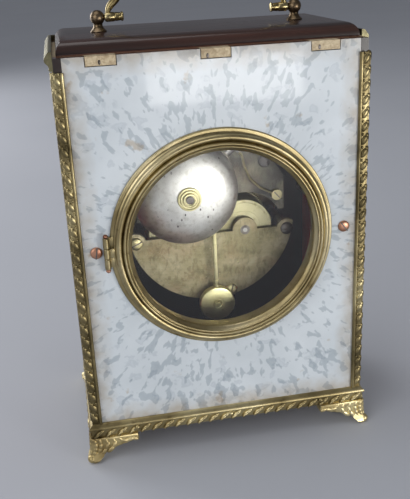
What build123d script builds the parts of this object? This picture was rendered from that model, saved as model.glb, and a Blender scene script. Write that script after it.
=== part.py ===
from build123d import *
import math
import os

# An officer's clock: a wooden carriage case on cast feet, glazed round doors at front and back,
# a bail handle, and a round eight-day movement with going and striking trains, bell and pendulum.
# +Z is up, the dial faces -Y and the back of the case faces +Y.
# The origin is the centre of the footprint, on the surface the feet stand on.
# All sizes are millimetres.

# Clearances
running_clearance = 0.05
body_gap = 0.3
seat_gap = 0.2

# Case boards
case_width = 150.0
case_depth = 86.0
carcass_height = 200.6
side_thickness = 8.0
front_thickness = 8.0
back_board_thickness = 7.0
panel_thickness = 1.0
panel_margin = 3.9
base_thickness = 8.1
top_thickness = 6.0
lining_thickness = 0.4

# Tenons of the top board, which show through notches at the back
tenon_count = 3
tenon_inset = 21.5
tenon_width = 14.0
tenon_height = 4.3
tenon_gap = 0.4

# Roof
roof_height = 6.9
roof_lip = 0.8
roof_edge = 6.7
roof_side_inset = 1.8
roof_front_inset = 2.0
roof_back_inset = 7.3

# Brass mouldings
cornice_height = 8.6
cornice_projection = 3.6
cornice_rise = 3.1
cornice_short_end = 9.0
moulding_height = 8.1
moulding_projection = 3.2
moulding_top_step = 1.0
pin_radius = 0.75
pin_count = 3
pin_inset = 23.0
pin_depth = 5.0
pin_stand = 0.3
trim_width = 5.5
trim_thickness = 1.0
trim_rope_radius = 1.9
trim_fillet_radius = 0.7
trim_gap = 0.9

# Feet
foot_height = 14.5
foot_reach = 5.5
foot_wing_back = 23.0
foot_wing_side = 20.0
foot_wing_thickness = 8.0
foot_tip_height = 4.3
foot_sole = 7.5
toe_radius = 3.4
toe_width = 8.0

# Handle
post_inset = 24.1
post_height = 6.8
post_foot_radius = 3.6
post_neck_radius = 2.0
post_shank_radius = 1.5
post_shank_length = 4.5
ball_radius = 3.2
handle_pin_radius = 1.0
stub_length = 9.4
stub_radius = 2.0
stub_rib_radius = 2.9
bail_radius = 2.2
bail_belly_height = 9.0
bail_belly_swell = 4.2
bail_waist_height = 17.0
bail_waist_swell = 3.2
bail_shoulder_height = 31.0
bail_shoulder_inset = 11.0

# Round doors, front and back: a fixed ring in the board and a hinged bezel with its glass
dial_height = 120.5
flange_width = 6.7
flange_thickness = 1.4
neck_wall = 2.2
neck_length = 7.0
dial_lip = 1.8
dial_lip_thickness = 1.0
bezel_margin = 1.9
bezel_height = 5.4
bezel_foot = 1.2
bezel_roll = 3.7
bezel_bead = 0.6
sight_lip = 1.8
glass_thickness = 1.5
glass_lip = 0.6
glass_rebate = 1.6
front_glass_rise = 3.2

# Door hinges
hinge_reach = 1.7
hinge_lift = 2.9
hinge_radius = 1.5
hinge_length = 16.4
hinge_pin_radius = 0.8
hinge_ball_radius = 1.45
hinge_leaf = 5.0

# Long screws that clamp the case from back to front
case_screw_inset = 10.8
case_screw_head_radius = 3.1
case_screw_head_height = 1.6
case_screw_radius = 1.6
case_screw_grip = 4.0
slot_width = 0.7
slot_depth = 0.7

# Movement plates
movement_setback = 30.0
plate_gap = 34.0
plate_thickness = 2.5
plate_radius = 46.0
plate_top_edge = 7.3
plate_way = 0.8
arbor_boss_radius = 7.0
ear_radius = 5.5
bridge_foot = 3.0
bridge_side_inset = 5.5
bridge_arch_radius = 21.6
bridge_tongue = 6.0
pillar_radius = 2.4
pillar_rivet_radius = 1.8
plate_screw_radius = 1.4
plate_screw_length = 6.0
plate_screw_head_radius = 3.6
plate_screw_head_height = 1.6
pillar_inset = 3.0
ear_angles = (-11.7, 191.7)
bridge_angles = (46.0, 134.0)
foot_angle = 257.4

# Arbor places, as X and Z from the centre of the dial
barrel_x = 18.4
barrel_z = -7.2
centre_arbor = (0.0, 0.0)
going_barrel_arbor = (barrel_x, barrel_z)
strike_barrel_arbor = (-barrel_x, barrel_z)
second_arbor = (1.5, -16.3)
third_arbor = (0.0, 14.2)
escape_arbor = (0.0, 25.1)
anchor_arbor = (0.0, 36.3)
pin_wheel_arbor = (-14.0, -25.9)
locking_arbor = (-3.0, -31.8)
fly_arbor = (4.4, -32.8)
hammer_arbor = (-36.0, 12.0)
minute_arbor = (-6.8, 6.8)
arbor_radius = 1.0
fine_arbor_radius = 0.5
pivot_radius = 0.5
fine_pivot_radius = 0.35
pivot_length = 2.0

# Tooth counts
barrel_teeth = 84
second_pinion_leaves = 12
second_teeth = 70
centre_pinion_leaves = 12
centre_teeth = 90
third_pinion_leaves = 7
third_teeth = 90
escape_pinion_leaves = 7
escape_teeth = 38
pin_wheel_pinion_leaves = 12
pin_wheel_teeth = 70
locking_pinion_leaves = 8
locking_teeth = 60
fly_pinion_leaves = 8
cannon_leaves = 12
minute_teeth = 36
minute_pinion_leaves = 10
hour_teeth = 40
ratchet_teeth = 24
pin_wheel_pins = 8

# Tooth form, in modules and in shares of the pitch
wheel_addendum = 1.0
wheel_dedendum = 1.5
wheel_share = 0.44
wheel_tip_share = 0.35
leaf_addendum = 0.55
leaf_dedendum = 1.6
leaf_share = 0.36
leaf_tip_share = 0.5
flank_turn = 0.62
flank_share = 0.72

# Places of the wheels along the arbors, from the back plate's inner face towards the dial
wheel_thickness = 1.2
pinion_overhang = 0.9
barrel_start = 1.7
barrel_length = 18.2
barrel_wheel_thickness = 2.0
second_wheel_depth = 27.5
centre_wheel_depth = 30.9
third_wheel_depth = 6.3
escape_wheel_depth = 2.5
pin_wheel_depth = 23.5
locking_wheel_depth = 14.5
fly_depth = 2.5
fly_length = 9.0
hammer_tail_depth = 25.3
hammer_tail_thickness = 1.4
hammer_tail_knee = (-12.0, -3.0)
hammer_tail_angle = 49.0

# Barrels, mainsprings and winding arbors
barrel_wall = 1.0
barrel_root_margin = 0.2
spring_strip = 0.45
spring_turns = 9
spring_side_gap = 0.6
hub_radius = 4.3
winding_radius = 2.5
winding_back_pivot_radius = 2.0
winding_front_pivot_radius = 2.2
winding_square = 3.2
winding_square_recess = 0.4
winding_pivot_stand = 0.3
ratchet_radius = 6.0
ratchet_tooth = 0.9
ratchet_thickness = 1.6
ratchet_gap = 0.4
click_distance = 9.4
click_nose_gap = 0.15
click_length = 7.0
click_width = 2.4
click_stud_radius = 0.9

# Escapement and pendulum
escape_radius = 8.0
escape_tooth_depth = 1.7
rim_share = 0.72
hub_share = 0.24
anchor_thickness = 2.0
anchor_arm_width = 1.8
pallet_gap = 0.95
pallet_angle = 52.0
pallet_length = 2.2
pallet_reach = 0.7
anchor_hub_radius = 2.4
pendulum_setback = 25.0
crutch_width = 1.6
crutch_thickness = 1.0
crutch_end = 0.4
crutch_drop = 22.0
crutch_setback = 2.2
fork_gap = 0.15
fork_wall = 0.8
fork_length = 1.6
rod_radius = 0.9
suspension_length = 6.0
suspension_width = 2.4
suspension_thickness = 0.2
suspension_block = 3.0
suspension_swing = 5.0
cock_width = 7.0
cock_height = 6.0
bob_drop = 83.0
bob_radius = 10.0
bob_thickness = 4.6
bob_bevel = 0.8
bob_nut_radius = 2.2
bob_nut_height = 0.8
ferrule_radius = 1.5
ferrule_length = 4.0

# Bell and hammer
bell_x = 14.8
bell_z = 20.0
bell_radius = 28.0
bell_height = 12.5
bell_shoulder_share = 0.62
bell_shoulder_drop = 2.3
bell_swell = 1.6
bell_wall = 1.2
bell_rim_stand = 8.0
bell_hole_radius = 2.1
bell_post_radius = 2.0
bell_seat_radius = 4.0
bell_seat_height = 1.5
bell_nut_radius = 6.2
bell_nut_height = 2.6
bell_nut_steps = 3
hammer_collet_radius = 2.9
hammer_collet_length = 2.6
hammer_wire_radius = 0.7
hammer_head_radius = 3.2
hammer_head_length = 9.0
hammer_bell_gap = 1.0
hammer_pin_gap = 0.4
hammer_aim = 137.0
hammer_wire_bend = 3.5
hammer_wire_start = 0.6
hammer_wire_route = ((-26.5, 17.0, 0.5), (-20.5, 23.5, 3.5), (-17.3, 31.0, 5.0), (-15.4, 38.0, 7.5))
strike_pin_circle = 9.0
strike_pin_radius = 0.5
strike_pin_length = 2.2
fly_half_width = 5.5
fly_blade_thickness = 0.4

# Dial, motion work and hands
dial_thickness = 1.4
dial_gap = 0.2
dial_foot_radius = 1.3
dial_foot_circle = 38.0
dial_foot_count = 3
dial_centre_hole = 3.2
winding_hole_radius = 3.0
centre_arbor_radius = 1.3
cannon_radius = 1.8
hour_pipe_radius = 2.6
cannon_start = 1.2
cannon_pinion_length = 3.0
minute_wheel_gap = 0.6
hour_wheel_start = 5.0
minute_stud_radius = 0.8
hour_hand_stand = 1.2
hand_thickness = 0.6
minute_hand_stand = 2.6
hour_hand_length = 25.0
minute_hand_length = 37.0
hand_collar = 1.4
hand_width = 1.5
hand_ring_radius = 3.2
hand_ring_width = 0.9
hand_nut_radius = 2.4
hand_nut_height = 1.6
hour_angle = 305.0
minute_angle = 60.0

# Levels and faces worked out from the sizes above
back_face = case_depth / 2
front_face = -case_depth / 2
side_face = case_width / 2
case_bottom = foot_height
plinth_top = foot_height + base_thickness
case_top = foot_height + carcass_height
inner_top = case_top - top_thickness
inner_back = back_face - back_board_thickness
inner_front = front_face + front_thickness
panel_face = back_face - panel_thickness
panel_half_width = side_face - panel_margin
neck_radius = plate_radius + plate_way + dial_lip + neck_wall
neck_inner = neck_radius - neck_wall
flange_radius = neck_radius + flange_width
bezel_radius = flange_radius - bezel_margin
sight_radius = neck_inner - sight_lip
hinge_offset = flange_radius + hinge_reach
opening_radius = neck_radius + seat_gap
roof_top = case_top + roof_height
ball_height = roof_top + post_height
post_x = side_face - post_inset
bridge_back = back_face - movement_setback
plate_front_of_back = bridge_back - plate_thickness
front_plate_back = plate_front_of_back - plate_gap
front_plate_front = front_plate_back - plate_thickness
dial_back = front_face + neck_length - dial_lip_thickness
dial_front = dial_back - dial_thickness
dial_radius = neck_inner - dial_gap
hinge_half = hinge_length / 2
pendulum_y = back_face - pendulum_setback
pillar_circle = plate_radius - pillar_inset


def depth(distance):
    """Y of a place at this distance in front of the back plate's inner face."""
    return plate_front_of_back - distance


def facing(y):
    """Plane at this Y whose drawing reads X to the right and Z up, extruding towards the dial."""
    return Plane(origin=(0, y, 0), x_dir=(1, 0, 0), z_dir=(0, -1, 0))


def slab(sketch, y_back, y_front):
    """The drawing as a plate between two Y values."""
    return extrude(facing(y_back) * sketch, amount=y_back - y_front)


def disc(place, radius, y_back, y_front):
    """A round bar along Y."""
    return slab(Pos(place[0], place[1]) * Circle(radius), y_back, y_front)


def upright(x, y, z_low, z_high, radius):
    """A round bar along Z."""
    length = z_high - z_low
    return Pos(x, y, z_low + length / 2) * Cylinder(radius, length)


def block(x_low, x_high, y_low, y_high, z_low, z_high):
    """A rectangular block between the given limits."""
    size = (x_high - x_low, y_high - y_low, z_high - z_low)
    middle = ((x_high + x_low) / 2, (y_high + y_low) / 2, (z_high + z_low) / 2)
    return Pos(*middle) * Box(*size)


def turned(edges):
    """A solid of revolution about the Y axis, from edges drawn as radius and Y."""
    return revolve(make_face(edges), Axis.Y, 360)


def polygon(points):
    """A closed face through the points, taken anticlockwise so that its normal faces up."""
    following = points[1:] + points[:1]
    doubled_area = sum(a[0] * b[1] - b[0] * a[1] for a, b in zip(points, following))
    ordered = points if doubled_area > 0 else points[::-1]
    return make_face(Polyline(*ordered, close=True))


def lifted(shape):
    """The shape moved from the dial's centre to its height above the surface."""
    return Pos(0, 0, dial_height) * shape


def distance(a, b):
    return math.hypot(b[0] - a[0], b[1] - a[1])


def direction(a, b):
    """Angle of the line from a to b in the drawing, in radians."""
    return math.atan2(b[1] - a[1], b[0] - a[0])


def module_of(a, b, teeth, leaves):
    """Module of a wheel and pinion that mesh between two arbors."""
    return 2 * distance(a, b) / (teeth + leaves)


def tooth_ring(teeth, module, addendum, dedendum, share, tip_share, phase):
    """Outline of a gear whose first tooth points along the phase angle."""
    pitch = 2 * math.pi / teeth
    half = share * pitch / 2
    pitch_radius = module * teeth / 2
    root = pitch_radius - dedendum * module
    turn = pitch_radius + addendum * module * flank_turn
    tip = pitch_radius + addendum * module
    flank = ((root, half), (pitch_radius, half), (turn, half * flank_share), (tip, half * tip_share))
    points = []
    for tooth in range(teeth):
        centre = phase + tooth * pitch
        for radius, angle in flank:
            points.append((radius * math.cos(centre - angle), radius * math.sin(centre - angle)))
        for radius, angle in reversed(flank):
            points.append((radius * math.cos(centre + angle), radius * math.sin(centre + angle)))
    return polygon(points)


def wheel_outline(place, mate, teeth, leaves):
    """A wheel at place with a tooth pointing at the pinion on the mate arbor."""
    module = module_of(place, mate, teeth, leaves)
    ring = tooth_ring(teeth, module, wheel_addendum, wheel_dedendum, wheel_share,
                      wheel_tip_share, direction(place, mate))
    return Pos(place[0], place[1]) * ring


def pinion_outline(place, mate, leaves, teeth):
    """A pinion at place with a gap facing the wheel on the mate arbor."""
    module = module_of(place, mate, teeth, leaves)
    phase = direction(place, mate) + math.pi / leaves
    ring = tooth_ring(leaves, module, leaf_addendum, leaf_dedendum, leaf_share,
                      leaf_tip_share, phase)
    return Pos(place[0], place[1]) * ring


def crossings(place, outer, inner, spokes, spoke_width):
    """Openings between the spokes of a wheel."""
    ring = Circle(outer) - Circle(inner)
    for spoke in range(spokes):
        ring -= Rot(0, 0, 360 / spokes * spoke) * Pos(outer / 2, 0) * Rectangle(outer, spoke_width)
    return Pos(place[0], place[1]) * ring


def crossed_wheel(place, mate, teeth, leaves, y_back, spokes=5):
    """A toothed wheel with spokes."""
    radius = module_of(place, mate, teeth, leaves) * teeth / 2
    outline = wheel_outline(place, mate, teeth, leaves)
    outline -= crossings(place, radius * rim_share, radius * hub_share, spokes, radius * hub_share / 2)
    return slab(outline, y_back, y_back - wheel_thickness)


def long_pinion(place, mate, leaves, teeth, wheel_back, thickness=wheel_thickness):
    """A pinion that overhangs both faces of the wheel it meshes with."""
    outline = pinion_outline(place, mate, leaves, teeth)
    return slab(outline, wheel_back + pinion_overhang, wheel_back - thickness - pinion_overhang)


def arbor(place, radius=arbor_radius, pivot=pivot_radius):
    """An arbor with a pivot at each end that runs in the plates."""
    back = plate_front_of_back - body_gap
    front = front_plate_back + body_gap
    return disc(place, radius, back, front) + disc(place, pivot, back + pivot_length, front - pivot_length)


def fine_arbor(place):
    """A thin arbor for the quick wheels of a train."""
    return arbor(place, fine_arbor_radius, fine_pivot_radius)


def pivot_holes(places, radius=pivot_radius):
    """Holes for pivots, a running clearance larger."""
    return [Pos(*place) * Circle(radius + running_clearance) for place in places]


# Case


def spread(count, inset):
    """Evenly spaced X values, the outer ones this far in from the sides of the case."""
    outer = side_face - inset
    return [outer * (2 * index / (count - 1) - 1) for index in range(count)]


def tenons(grow):
    """The tenons at the back edge of the top board, or their notches when grown."""
    low = case_top - tenon_height - grow
    parts = [block(x - tenon_width / 2 - grow, x + tenon_width / 2 + grow, inner_back,
                   back_face, low, case_top) for x in spread(tenon_count, tenon_inset)]
    return parts


def case_screw_places():
    return [(x, dial_height) for x in spread(2, case_screw_inset)]


def moulding_pins():
    """Round pins that hold the base moulding at front and back."""
    tip = back_face + moulding_projection + pin_stand
    height = case_bottom + moulding_height / 2
    pins = []
    for x in spread(pin_count, pin_inset):
        pin = slab(Pos(x, height) * Circle(pin_radius), tip, back_face - pin_depth)
        pins += [pin, mirror(pin, about=Plane.XZ)]
    return pins


def base_board():
    board = block(-side_face, side_face, front_face, back_face, case_bottom, plinth_top)
    for pin in moulding_pins():
        board -= pin
    return board


def side_board(sign):
    low, high = sorted((sign * side_face, sign * (side_face - side_thickness)))
    return block(low, high, inner_front, inner_back, plinth_top, inner_top)


def top_board():
    board = block(-side_face, side_face, inner_front, inner_back, inner_top, case_top)
    for tenon in tenons(0):
        board += tenon
    for sign in (-1, 1):
        board -= post_shank(sign)
    return board


def front_board():
    board = block(-side_face, side_face, front_face, inner_front, plinth_top, case_top)
    board -= disc((0, dial_height), opening_radius, inner_front + 1, front_face - 1)
    for place in case_screw_places():
        board -= disc(place, case_screw_radius, inner_front + 1, inner_front - case_screw_grip)
    return board


def back_board():
    board = block(-side_face, side_face, inner_back, back_face, plinth_top, case_top)
    board -= block(-panel_half_width - seat_gap, panel_half_width + seat_gap, panel_face,
                   back_face, plinth_top, case_top)
    board -= disc((0, dial_height), opening_radius, back_face + 1, inner_back - 1)
    for notch in tenons(tenon_gap):
        board -= notch
    for place in case_screw_places():
        board -= disc(place, case_screw_radius + seat_gap, back_face, inner_back - 1)
    return board


def back_panel():
    panel = block(-panel_half_width, panel_half_width, panel_face, back_face, plinth_top, case_top)
    panel -= disc((0, dial_height), opening_radius, back_face + 1, panel_face - 1)
    for notch in tenons(tenon_gap):
        panel -= notch
    for place in case_screw_places():
        panel -= disc(place, case_screw_radius + seat_gap, back_face + 1, panel_face - 1)
    return panel


def cushion_outline(low, high):
    """Section of the roof between two sides, with a rounded shoulder at each."""
    shoulder = roof_edge * (1 - math.sqrt(0.5))
    rise = roof_lip + (roof_height - roof_lip) * math.sqrt(0.5)
    left = [Line((low, 0), (low, roof_lip)),
            ThreePointArc((low, roof_lip), (low + shoulder, rise), (low + roof_edge, roof_height))]
    right = [ThreePointArc((high - roof_edge, roof_height), (high - shoulder, rise), (high, roof_lip)),
             Line((high, roof_lip), (high, 0))]
    top = Line((low + roof_edge, roof_height), (high - roof_edge, roof_height))
    bottom = Line((high, 0), (low, 0))
    return make_face([*left, top, *right, bottom])


def roof():
    half = side_face - roof_side_inset
    front = front_face + roof_front_inset
    back = back_face - roof_back_inset
    across = extrude(Plane(origin=(0, back, case_top), x_dir=(1, 0, 0), z_dir=(0, -1, 0))
                     * cushion_outline(-half, half), amount=back - front)
    along = extrude(Plane(origin=(-half, 0, case_top), x_dir=(0, 1, 0), z_dir=(1, 0, 0))
                    * cushion_outline(front, back), amount=2 * half)
    cap = across & along
    for sign in (-1, 1):
        cap -= post_shank(sign)
    return cap


def case_lining():
    half = side_face - side_thickness
    outer = block(-half, half, inner_front, inner_back, plinth_top, inner_top)
    inner = block(-half + lining_thickness, half - lining_thickness, inner_front - 1,
                  inner_back + 1, plinth_top + lining_thickness, inner_top - lining_thickness)
    return outer - inner


def case_screws():
    """Two long slotted screws from the back panel into the front board."""
    tip = inner_front - case_screw_grip
    screws = []
    for place in case_screw_places():
        head = disc(place, case_screw_head_radius, back_face + case_screw_head_height, back_face)
        head = fillet(head.edges().group_by(Axis.Y)[-1], case_screw_head_height / 2)
        slot_top = back_face + case_screw_head_height
        slot = block(place[0] - case_screw_head_radius, place[0] + case_screw_head_radius,
                     slot_top - slot_depth, slot_top, place[1] - slot_width / 2,
                     place[1] + slot_width / 2)
        screws.append(head - slot + disc(place, case_screw_radius, back_face, tip))
    return screws


# Brass mouldings


def side_strip(section, face, half_length, reach, start_mitred=True, end_mitred=True):
    """A strip on the +Y side at this face, with its ends mitred or square."""
    low = -half_length
    high = half_length
    plan = polygon([(low, face), (high, face), (high + (reach if end_mitred else 0), face + reach),
                    (low - (reach if start_mitred else 0), face + reach)])
    bar = extrude(Plane(origin=(low - reach, 0, 0), x_dir=(0, 1, 0), z_dir=(1, 0, 0)) * section,
                  amount=2 * (half_length + reach))
    tall = case_top + roof_height
    return bar & extrude(plan, amount=tall)


def moulding_section(face):
    """Section of the base moulding: a bevel above a rounded lower half."""
    out = face + moulding_projection
    low = case_bottom
    high = case_bottom + moulding_height
    middle = (low + high) / 2
    return make_face([Line((face, low), (out - moulding_top_step, low)),
                      ThreePointArc((out - moulding_top_step, low), (out, (low + middle) / 2),
                                    (out - moulding_top_step / 2, middle)),
                      Line((out - moulding_top_step / 2, middle), (face + moulding_top_step, high)),
                      Line((face + moulding_top_step, high), (face, high)),
                      Line((face, high), (face, low))])


def base_moulding():
    """Four mitred strips round the base board."""
    back = side_strip(moulding_section(back_face), back_face, side_face, moulding_projection)
    side = side_strip(moulding_section(side_face), side_face, back_face, moulding_projection)
    for pin in moulding_pins():
        back -= pin
    strips = [back, mirror(back, about=Plane.XZ)]
    right = Rot(0, 0, -90) * side
    strips += [right, mirror(right, about=Plane.YZ)]
    return strips


def cornice_section(face):
    """Section of the cornice: a hollow below a rounded upper edge."""
    out = face + cornice_projection
    high = case_top + cornice_rise
    low = high - cornice_height
    step = cornice_height / 4
    return make_face([Line((face, low), (face + trim_thickness, low)),
                      ThreePointArc((face + trim_thickness, low), (out - trim_thickness, low + step),
                                    (out, high - 2 * step)),
                      ThreePointArc((out, high - 2 * step), (out - trim_thickness / 2, high - step / 2),
                                    (out - 2 * trim_thickness, high)),
                      Line((out - 2 * trim_thickness, high), (face, high)),
                      Line((face, high), (face, low))])


def cornice():
    """Front strip and two side strips, one of which stops short of the back."""
    front = mirror(side_strip(cornice_section(back_face), back_face, side_face, cornice_projection),
                   about=Plane.XZ)
    side = side_strip(cornice_section(side_face), side_face, back_face, cornice_projection,
                      start_mitred=False)
    right = Rot(0, 0, -90) * side
    left = mirror(right, about=Plane.YZ)
    left -= block(-2 * side_face, 0, back_face - cornice_short_end, 2 * back_face, 0, 2 * case_top)
    return [front, right, left]


def corner_trims():
    """Four brass angles with a rope at the corner and a plain fillet along each flange."""
    x = side_face
    y = back_face
    edge = trim_width - trim_thickness
    plan = polygon([(x - edge, y), (x, y), (x, y - edge), (x + trim_thickness, y - edge),
                    (x + trim_thickness, y + trim_thickness), (x - edge, y + trim_thickness)])
    shift = trim_rope_radius - trim_thickness
    for dx, dy in ((-trim_rope_radius, 0), (0, -trim_rope_radius)):
        plan += Pos(x - shift * (dx == 0) + dx, y - shift * (dy == 0) + dy) * Circle(trim_rope_radius)
    plan += Pos(x - edge + trim_fillet_radius, y + trim_thickness) * Circle(trim_fillet_radius)
    plan += Pos(x + trim_thickness, y - edge + trim_fillet_radius) * Circle(trim_fillet_radius)
    plan -= Pos(x / 2, y / 2) * Rectangle(x, y)
    low = case_bottom + moulding_height
    high = case_top + cornice_rise - cornice_height - trim_gap
    trim = extrude(Pos(0, 0, low) * plan, amount=high - low)
    return four_corners(trim)


def four_corners(shape):
    """The shape and its mirror images in all four corners of the case."""
    left = mirror(shape, about=Plane.YZ)
    return [shape, left, mirror(shape, about=Plane.XZ), mirror(left, about=Plane.XZ)]


def foot_wing(corner, inner_end):
    """Side view of one wing of a foot, from the inner end to the flared corner."""
    reach = corner + foot_reach
    tip = foot_height - foot_tip_height
    heel = reach - foot_sole
    middle = (heel + inner_end) / 2
    return make_face([Line((inner_end, foot_height), (corner + foot_reach / 2, foot_height)),
                      Line((corner + foot_reach / 2, foot_height),
                           (corner + foot_reach / 2, foot_height * 0.65)),
                      ThreePointArc((corner + foot_reach / 2, foot_height * 0.65),
                                    (corner + foot_reach * 0.68, foot_height * 0.4),
                                    (reach, foot_height * 0.25)),
                      Line((reach, foot_height * 0.25), (reach, 0)),
                      Line((reach, 0), (heel, 0)),
                      ThreePointArc((heel, 0), ((heel + middle) / 2 + 1, tip * 0.62),
                                    (middle, tip * 0.84)),
                      ThreePointArc((middle, tip * 0.84), ((middle + inner_end) / 2, tip * 0.78),
                                    (inner_end, tip)),
                      Line((inner_end, tip), (inner_end, foot_height))])


def feet():
    """Four cast corner feet, each with two wings and a rolled toe."""
    along = foot_wing(side_face, side_face - foot_wing_back)
    outer = back_face + foot_reach / 2
    back_wing = slab(along, outer, outer - foot_wing_thickness)
    across = foot_wing(back_face, back_face - foot_wing_side)
    side_outer = side_face + foot_reach / 2
    side_wing = extrude(Plane(origin=(side_outer - foot_wing_thickness, 0, 0), x_dir=(0, 1, 0),
                              z_dir=(1, 0, 0)) * across, amount=foot_wing_thickness)
    toe_x = side_face + foot_reach - toe_radius
    toe_y = back_face + foot_reach - toe_radius
    toe = Pos(toe_x, toe_y, toe_radius) * Rot(0, 0, 45) * Rot(90, 0, 0) * Cylinder(toe_radius, toe_width)
    toe -= block(0, 2 * side_face, 0, 2 * back_face, -toe_radius, 0)
    toe &= block(0, side_face + foot_reach, 0, back_face + foot_reach, 0, foot_height)
    return four_corners(back_wing + side_wing + toe)


# Handle


def post_shank(sign):
    return upright(sign * post_x, 0, roof_top - post_shank_length - roof_height, roof_top,
                   post_shank_radius)


def handle_post(sign):
    """A turned post with a flared foot, a neck and a cross-drilled ball."""
    neck_top = ball_height - ball_radius * 0.6
    flare = make_face([Line((0, roof_top), (post_foot_radius, roof_top)),
                       ThreePointArc((post_foot_radius, roof_top),
                                     (post_neck_radius + 0.4, roof_top + post_foot_radius / 3),
                                     (post_neck_radius, roof_top + post_foot_radius)),
                       Line((post_neck_radius, roof_top + post_foot_radius),
                            (post_neck_radius, neck_top)),
                       Line((post_neck_radius, neck_top), (0, neck_top)),
                       Line((0, neck_top), (0, roof_top))])
    body = Pos(sign * post_x, 0, 0) * revolve(Plane.XZ * flare, Axis.Z, 360)
    post = body + post_shank(sign) + Pos(sign * post_x, 0, ball_height) * Sphere(ball_radius)
    bore = Pos(sign * post_x, 0, ball_height) * Rot(0, 90, 0) * Cylinder(
        handle_pin_radius + running_clearance, 3 * ball_radius)
    return post - bore


def handle_stub(sign):
    """The pin in the ball and the ribbed end of the bail beside it."""
    near = post_x - ball_radius - body_gap
    far = near - stub_length

    def bar(x_low, x_high, radius):
        middle = sign * (x_low + x_high) / 2
        return Pos(middle, 0, ball_height) * Rot(0, 90, 0) * Cylinder(radius, x_high - x_low)

    stub = bar(near, post_x + ball_radius * 0.8, handle_pin_radius) + bar(far, near, stub_radius)
    rib = stub_length / 6
    for index in (0, 2):
        stub += bar(near - (index + 1) * rib, near - index * rib, stub_rib_radius)
    return stub


def bail_path(foot):
    """Smooth line of the bail: a swelling side, a shoulder and a long crown."""
    right = [(foot, 0, ball_height),
             (foot + bail_belly_swell, 0, ball_height + bail_belly_height),
             (foot + bail_waist_swell, 0, ball_height + bail_waist_height),
             (foot - bail_shoulder_inset, 0, ball_height + bail_shoulder_height)]
    left = [(-x, y, z) for x, y, z in reversed(right)]
    side = ThreePointArc(*right[:3])
    turn = TangentArc(right[2], right[3], tangent=side % 1)
    crown = TangentArc(right[3], left[0], tangent=turn % 1)
    return_turn = TangentArc(left[0], left[1], tangent=crown % 1)
    return Wire([side, turn, crown, return_turn, ThreePointArc(*left[1:])])


def handle_bail():
    """The arched bail, from one ribbed stub to the other."""
    foot = post_x - ball_radius - body_gap - stub_length + bail_radius
    path = bail_path(foot)
    start = Plane(origin=path @ 0, z_dir=path % 0)
    bail = sweep(start * Circle(bail_radius), path)
    foot_balls = [Pos(sign * foot, 0, ball_height) * Sphere(bail_radius) for sign in (-1, 1)]
    for piece in foot_balls + [handle_stub(-1), handle_stub(1)]:
        bail += piece
    return bail


# Round doors, drawn at the back and mirrored for the front


def fixed_ring(lip):
    """Flange and neck of the fixed ring, with a dial lip where asked for."""
    edge = flange_thickness / 2
    end = back_face - neck_length
    points = [(neck_inner, back_face + flange_thickness),
              (flange_radius - edge, back_face + flange_thickness),
              (flange_radius, back_face + edge), (flange_radius, back_face),
              (neck_radius, back_face), (neck_radius, end)]
    if lip:
        points += [(neck_inner - dial_lip, end), (neck_inner - dial_lip, end + dial_lip_thickness),
                   (neck_inner, end + dial_lip_thickness)]
    else:
        points += [(neck_inner, end)]
    return revolve(polygon(points), Axis.Y, 360)


def hinge_bar(low, high, radius):
    """A round bar on the hinge axis, between heights from the hinge's middle."""
    return upright(hinge_offset, back_face + hinge_lift, low, high, radius)


def knuckle(low, high, bore):
    return hinge_bar(low, high, hinge_radius) - hinge_bar(low - 1, high + 1, bore)


def knuckle_ends():
    """Ends of the middle knuckle, between the two fixed ones."""
    return hinge_half / 3


def bezel_ring(lip):
    """Fixed ring with the two outer knuckles of the hinge."""
    ring = fixed_ring(lip)
    inner = knuckle_ends()
    for low, high in ((-hinge_half, -inner), (inner, hinge_half)):
        leaf = block(hinge_offset - hinge_leaf, hinge_offset, back_face,
                     back_face + flange_thickness, low, high)
        leaf += block(hinge_offset - hinge_radius, hinge_offset, back_face,
                      back_face + hinge_lift, low, high)
        leaf -= hinge_bar(low - 1, high + 1, hinge_pin_radius)
        ring += leaf + knuckle(low, high, hinge_pin_radius)
    return ring


def door_bezel():
    """Hinged bezel: a rolled outer edge, a bead, a hollow towards the glass and one knuckle."""
    base = back_face + flange_thickness + seat_gap
    rebate = sight_radius + glass_rebate
    seat = base + seat_gap * 2 + glass_thickness
    top = base + bezel_height
    roll_end = bezel_radius - bezel_roll
    bead_end = roll_end - 2 * bezel_bead
    shoulder = (bead_end + rebate) / 2
    edges = [Line((rebate, base), (bezel_radius, base)),
             Line((bezel_radius, base), (bezel_radius, base + bezel_foot)),
             ThreePointArc((bezel_radius, base + bezel_foot),
                           (bezel_radius - bezel_roll * 0.3, top - bezel_bead - bezel_foot / 2),
                           (roll_end, top - bezel_bead)),
             Line((roll_end, top - bezel_bead), (roll_end - bezel_bead / 2, top)),
             Line((roll_end - bezel_bead / 2, top), (bead_end + bezel_bead / 2, top)),
             Line((bead_end + bezel_bead / 2, top), (bead_end, top - bezel_bead)),
             Line((bead_end, top - bezel_bead), (shoulder, top - bezel_bead)),
             ThreePointArc((shoulder, top - bezel_bead), (rebate - glass_rebate / 2, seat + glass_lip * 2),
                           (sight_radius, seat + glass_lip)),
             Line((sight_radius, seat + glass_lip), (sight_radius, seat)),
             Line((sight_radius, seat), (rebate, seat)),
             Line((rebate, seat), (rebate, base))]
    bezel = turned(edges)
    inner = knuckle_ends() - body_gap / 2
    arm = block(bezel_radius - bezel_foot, hinge_offset, base, base + bezel_foot, -inner, inner)
    arm -= hinge_bar(-inner - 1, inner + 1, hinge_pin_radius + running_clearance)
    return bezel + arm + knuckle(-inner, inner, hinge_pin_radius + running_clearance)


def glass_seat():
    """Y of the rebate's face, which the glass lies against."""
    return back_face + flange_thickness + 3 * seat_gap + glass_thickness


def flat_glass():
    seat = glass_seat()
    radius = sight_radius + glass_rebate - running_clearance
    return slab(Circle(radius), seat, seat - glass_thickness)


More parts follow.
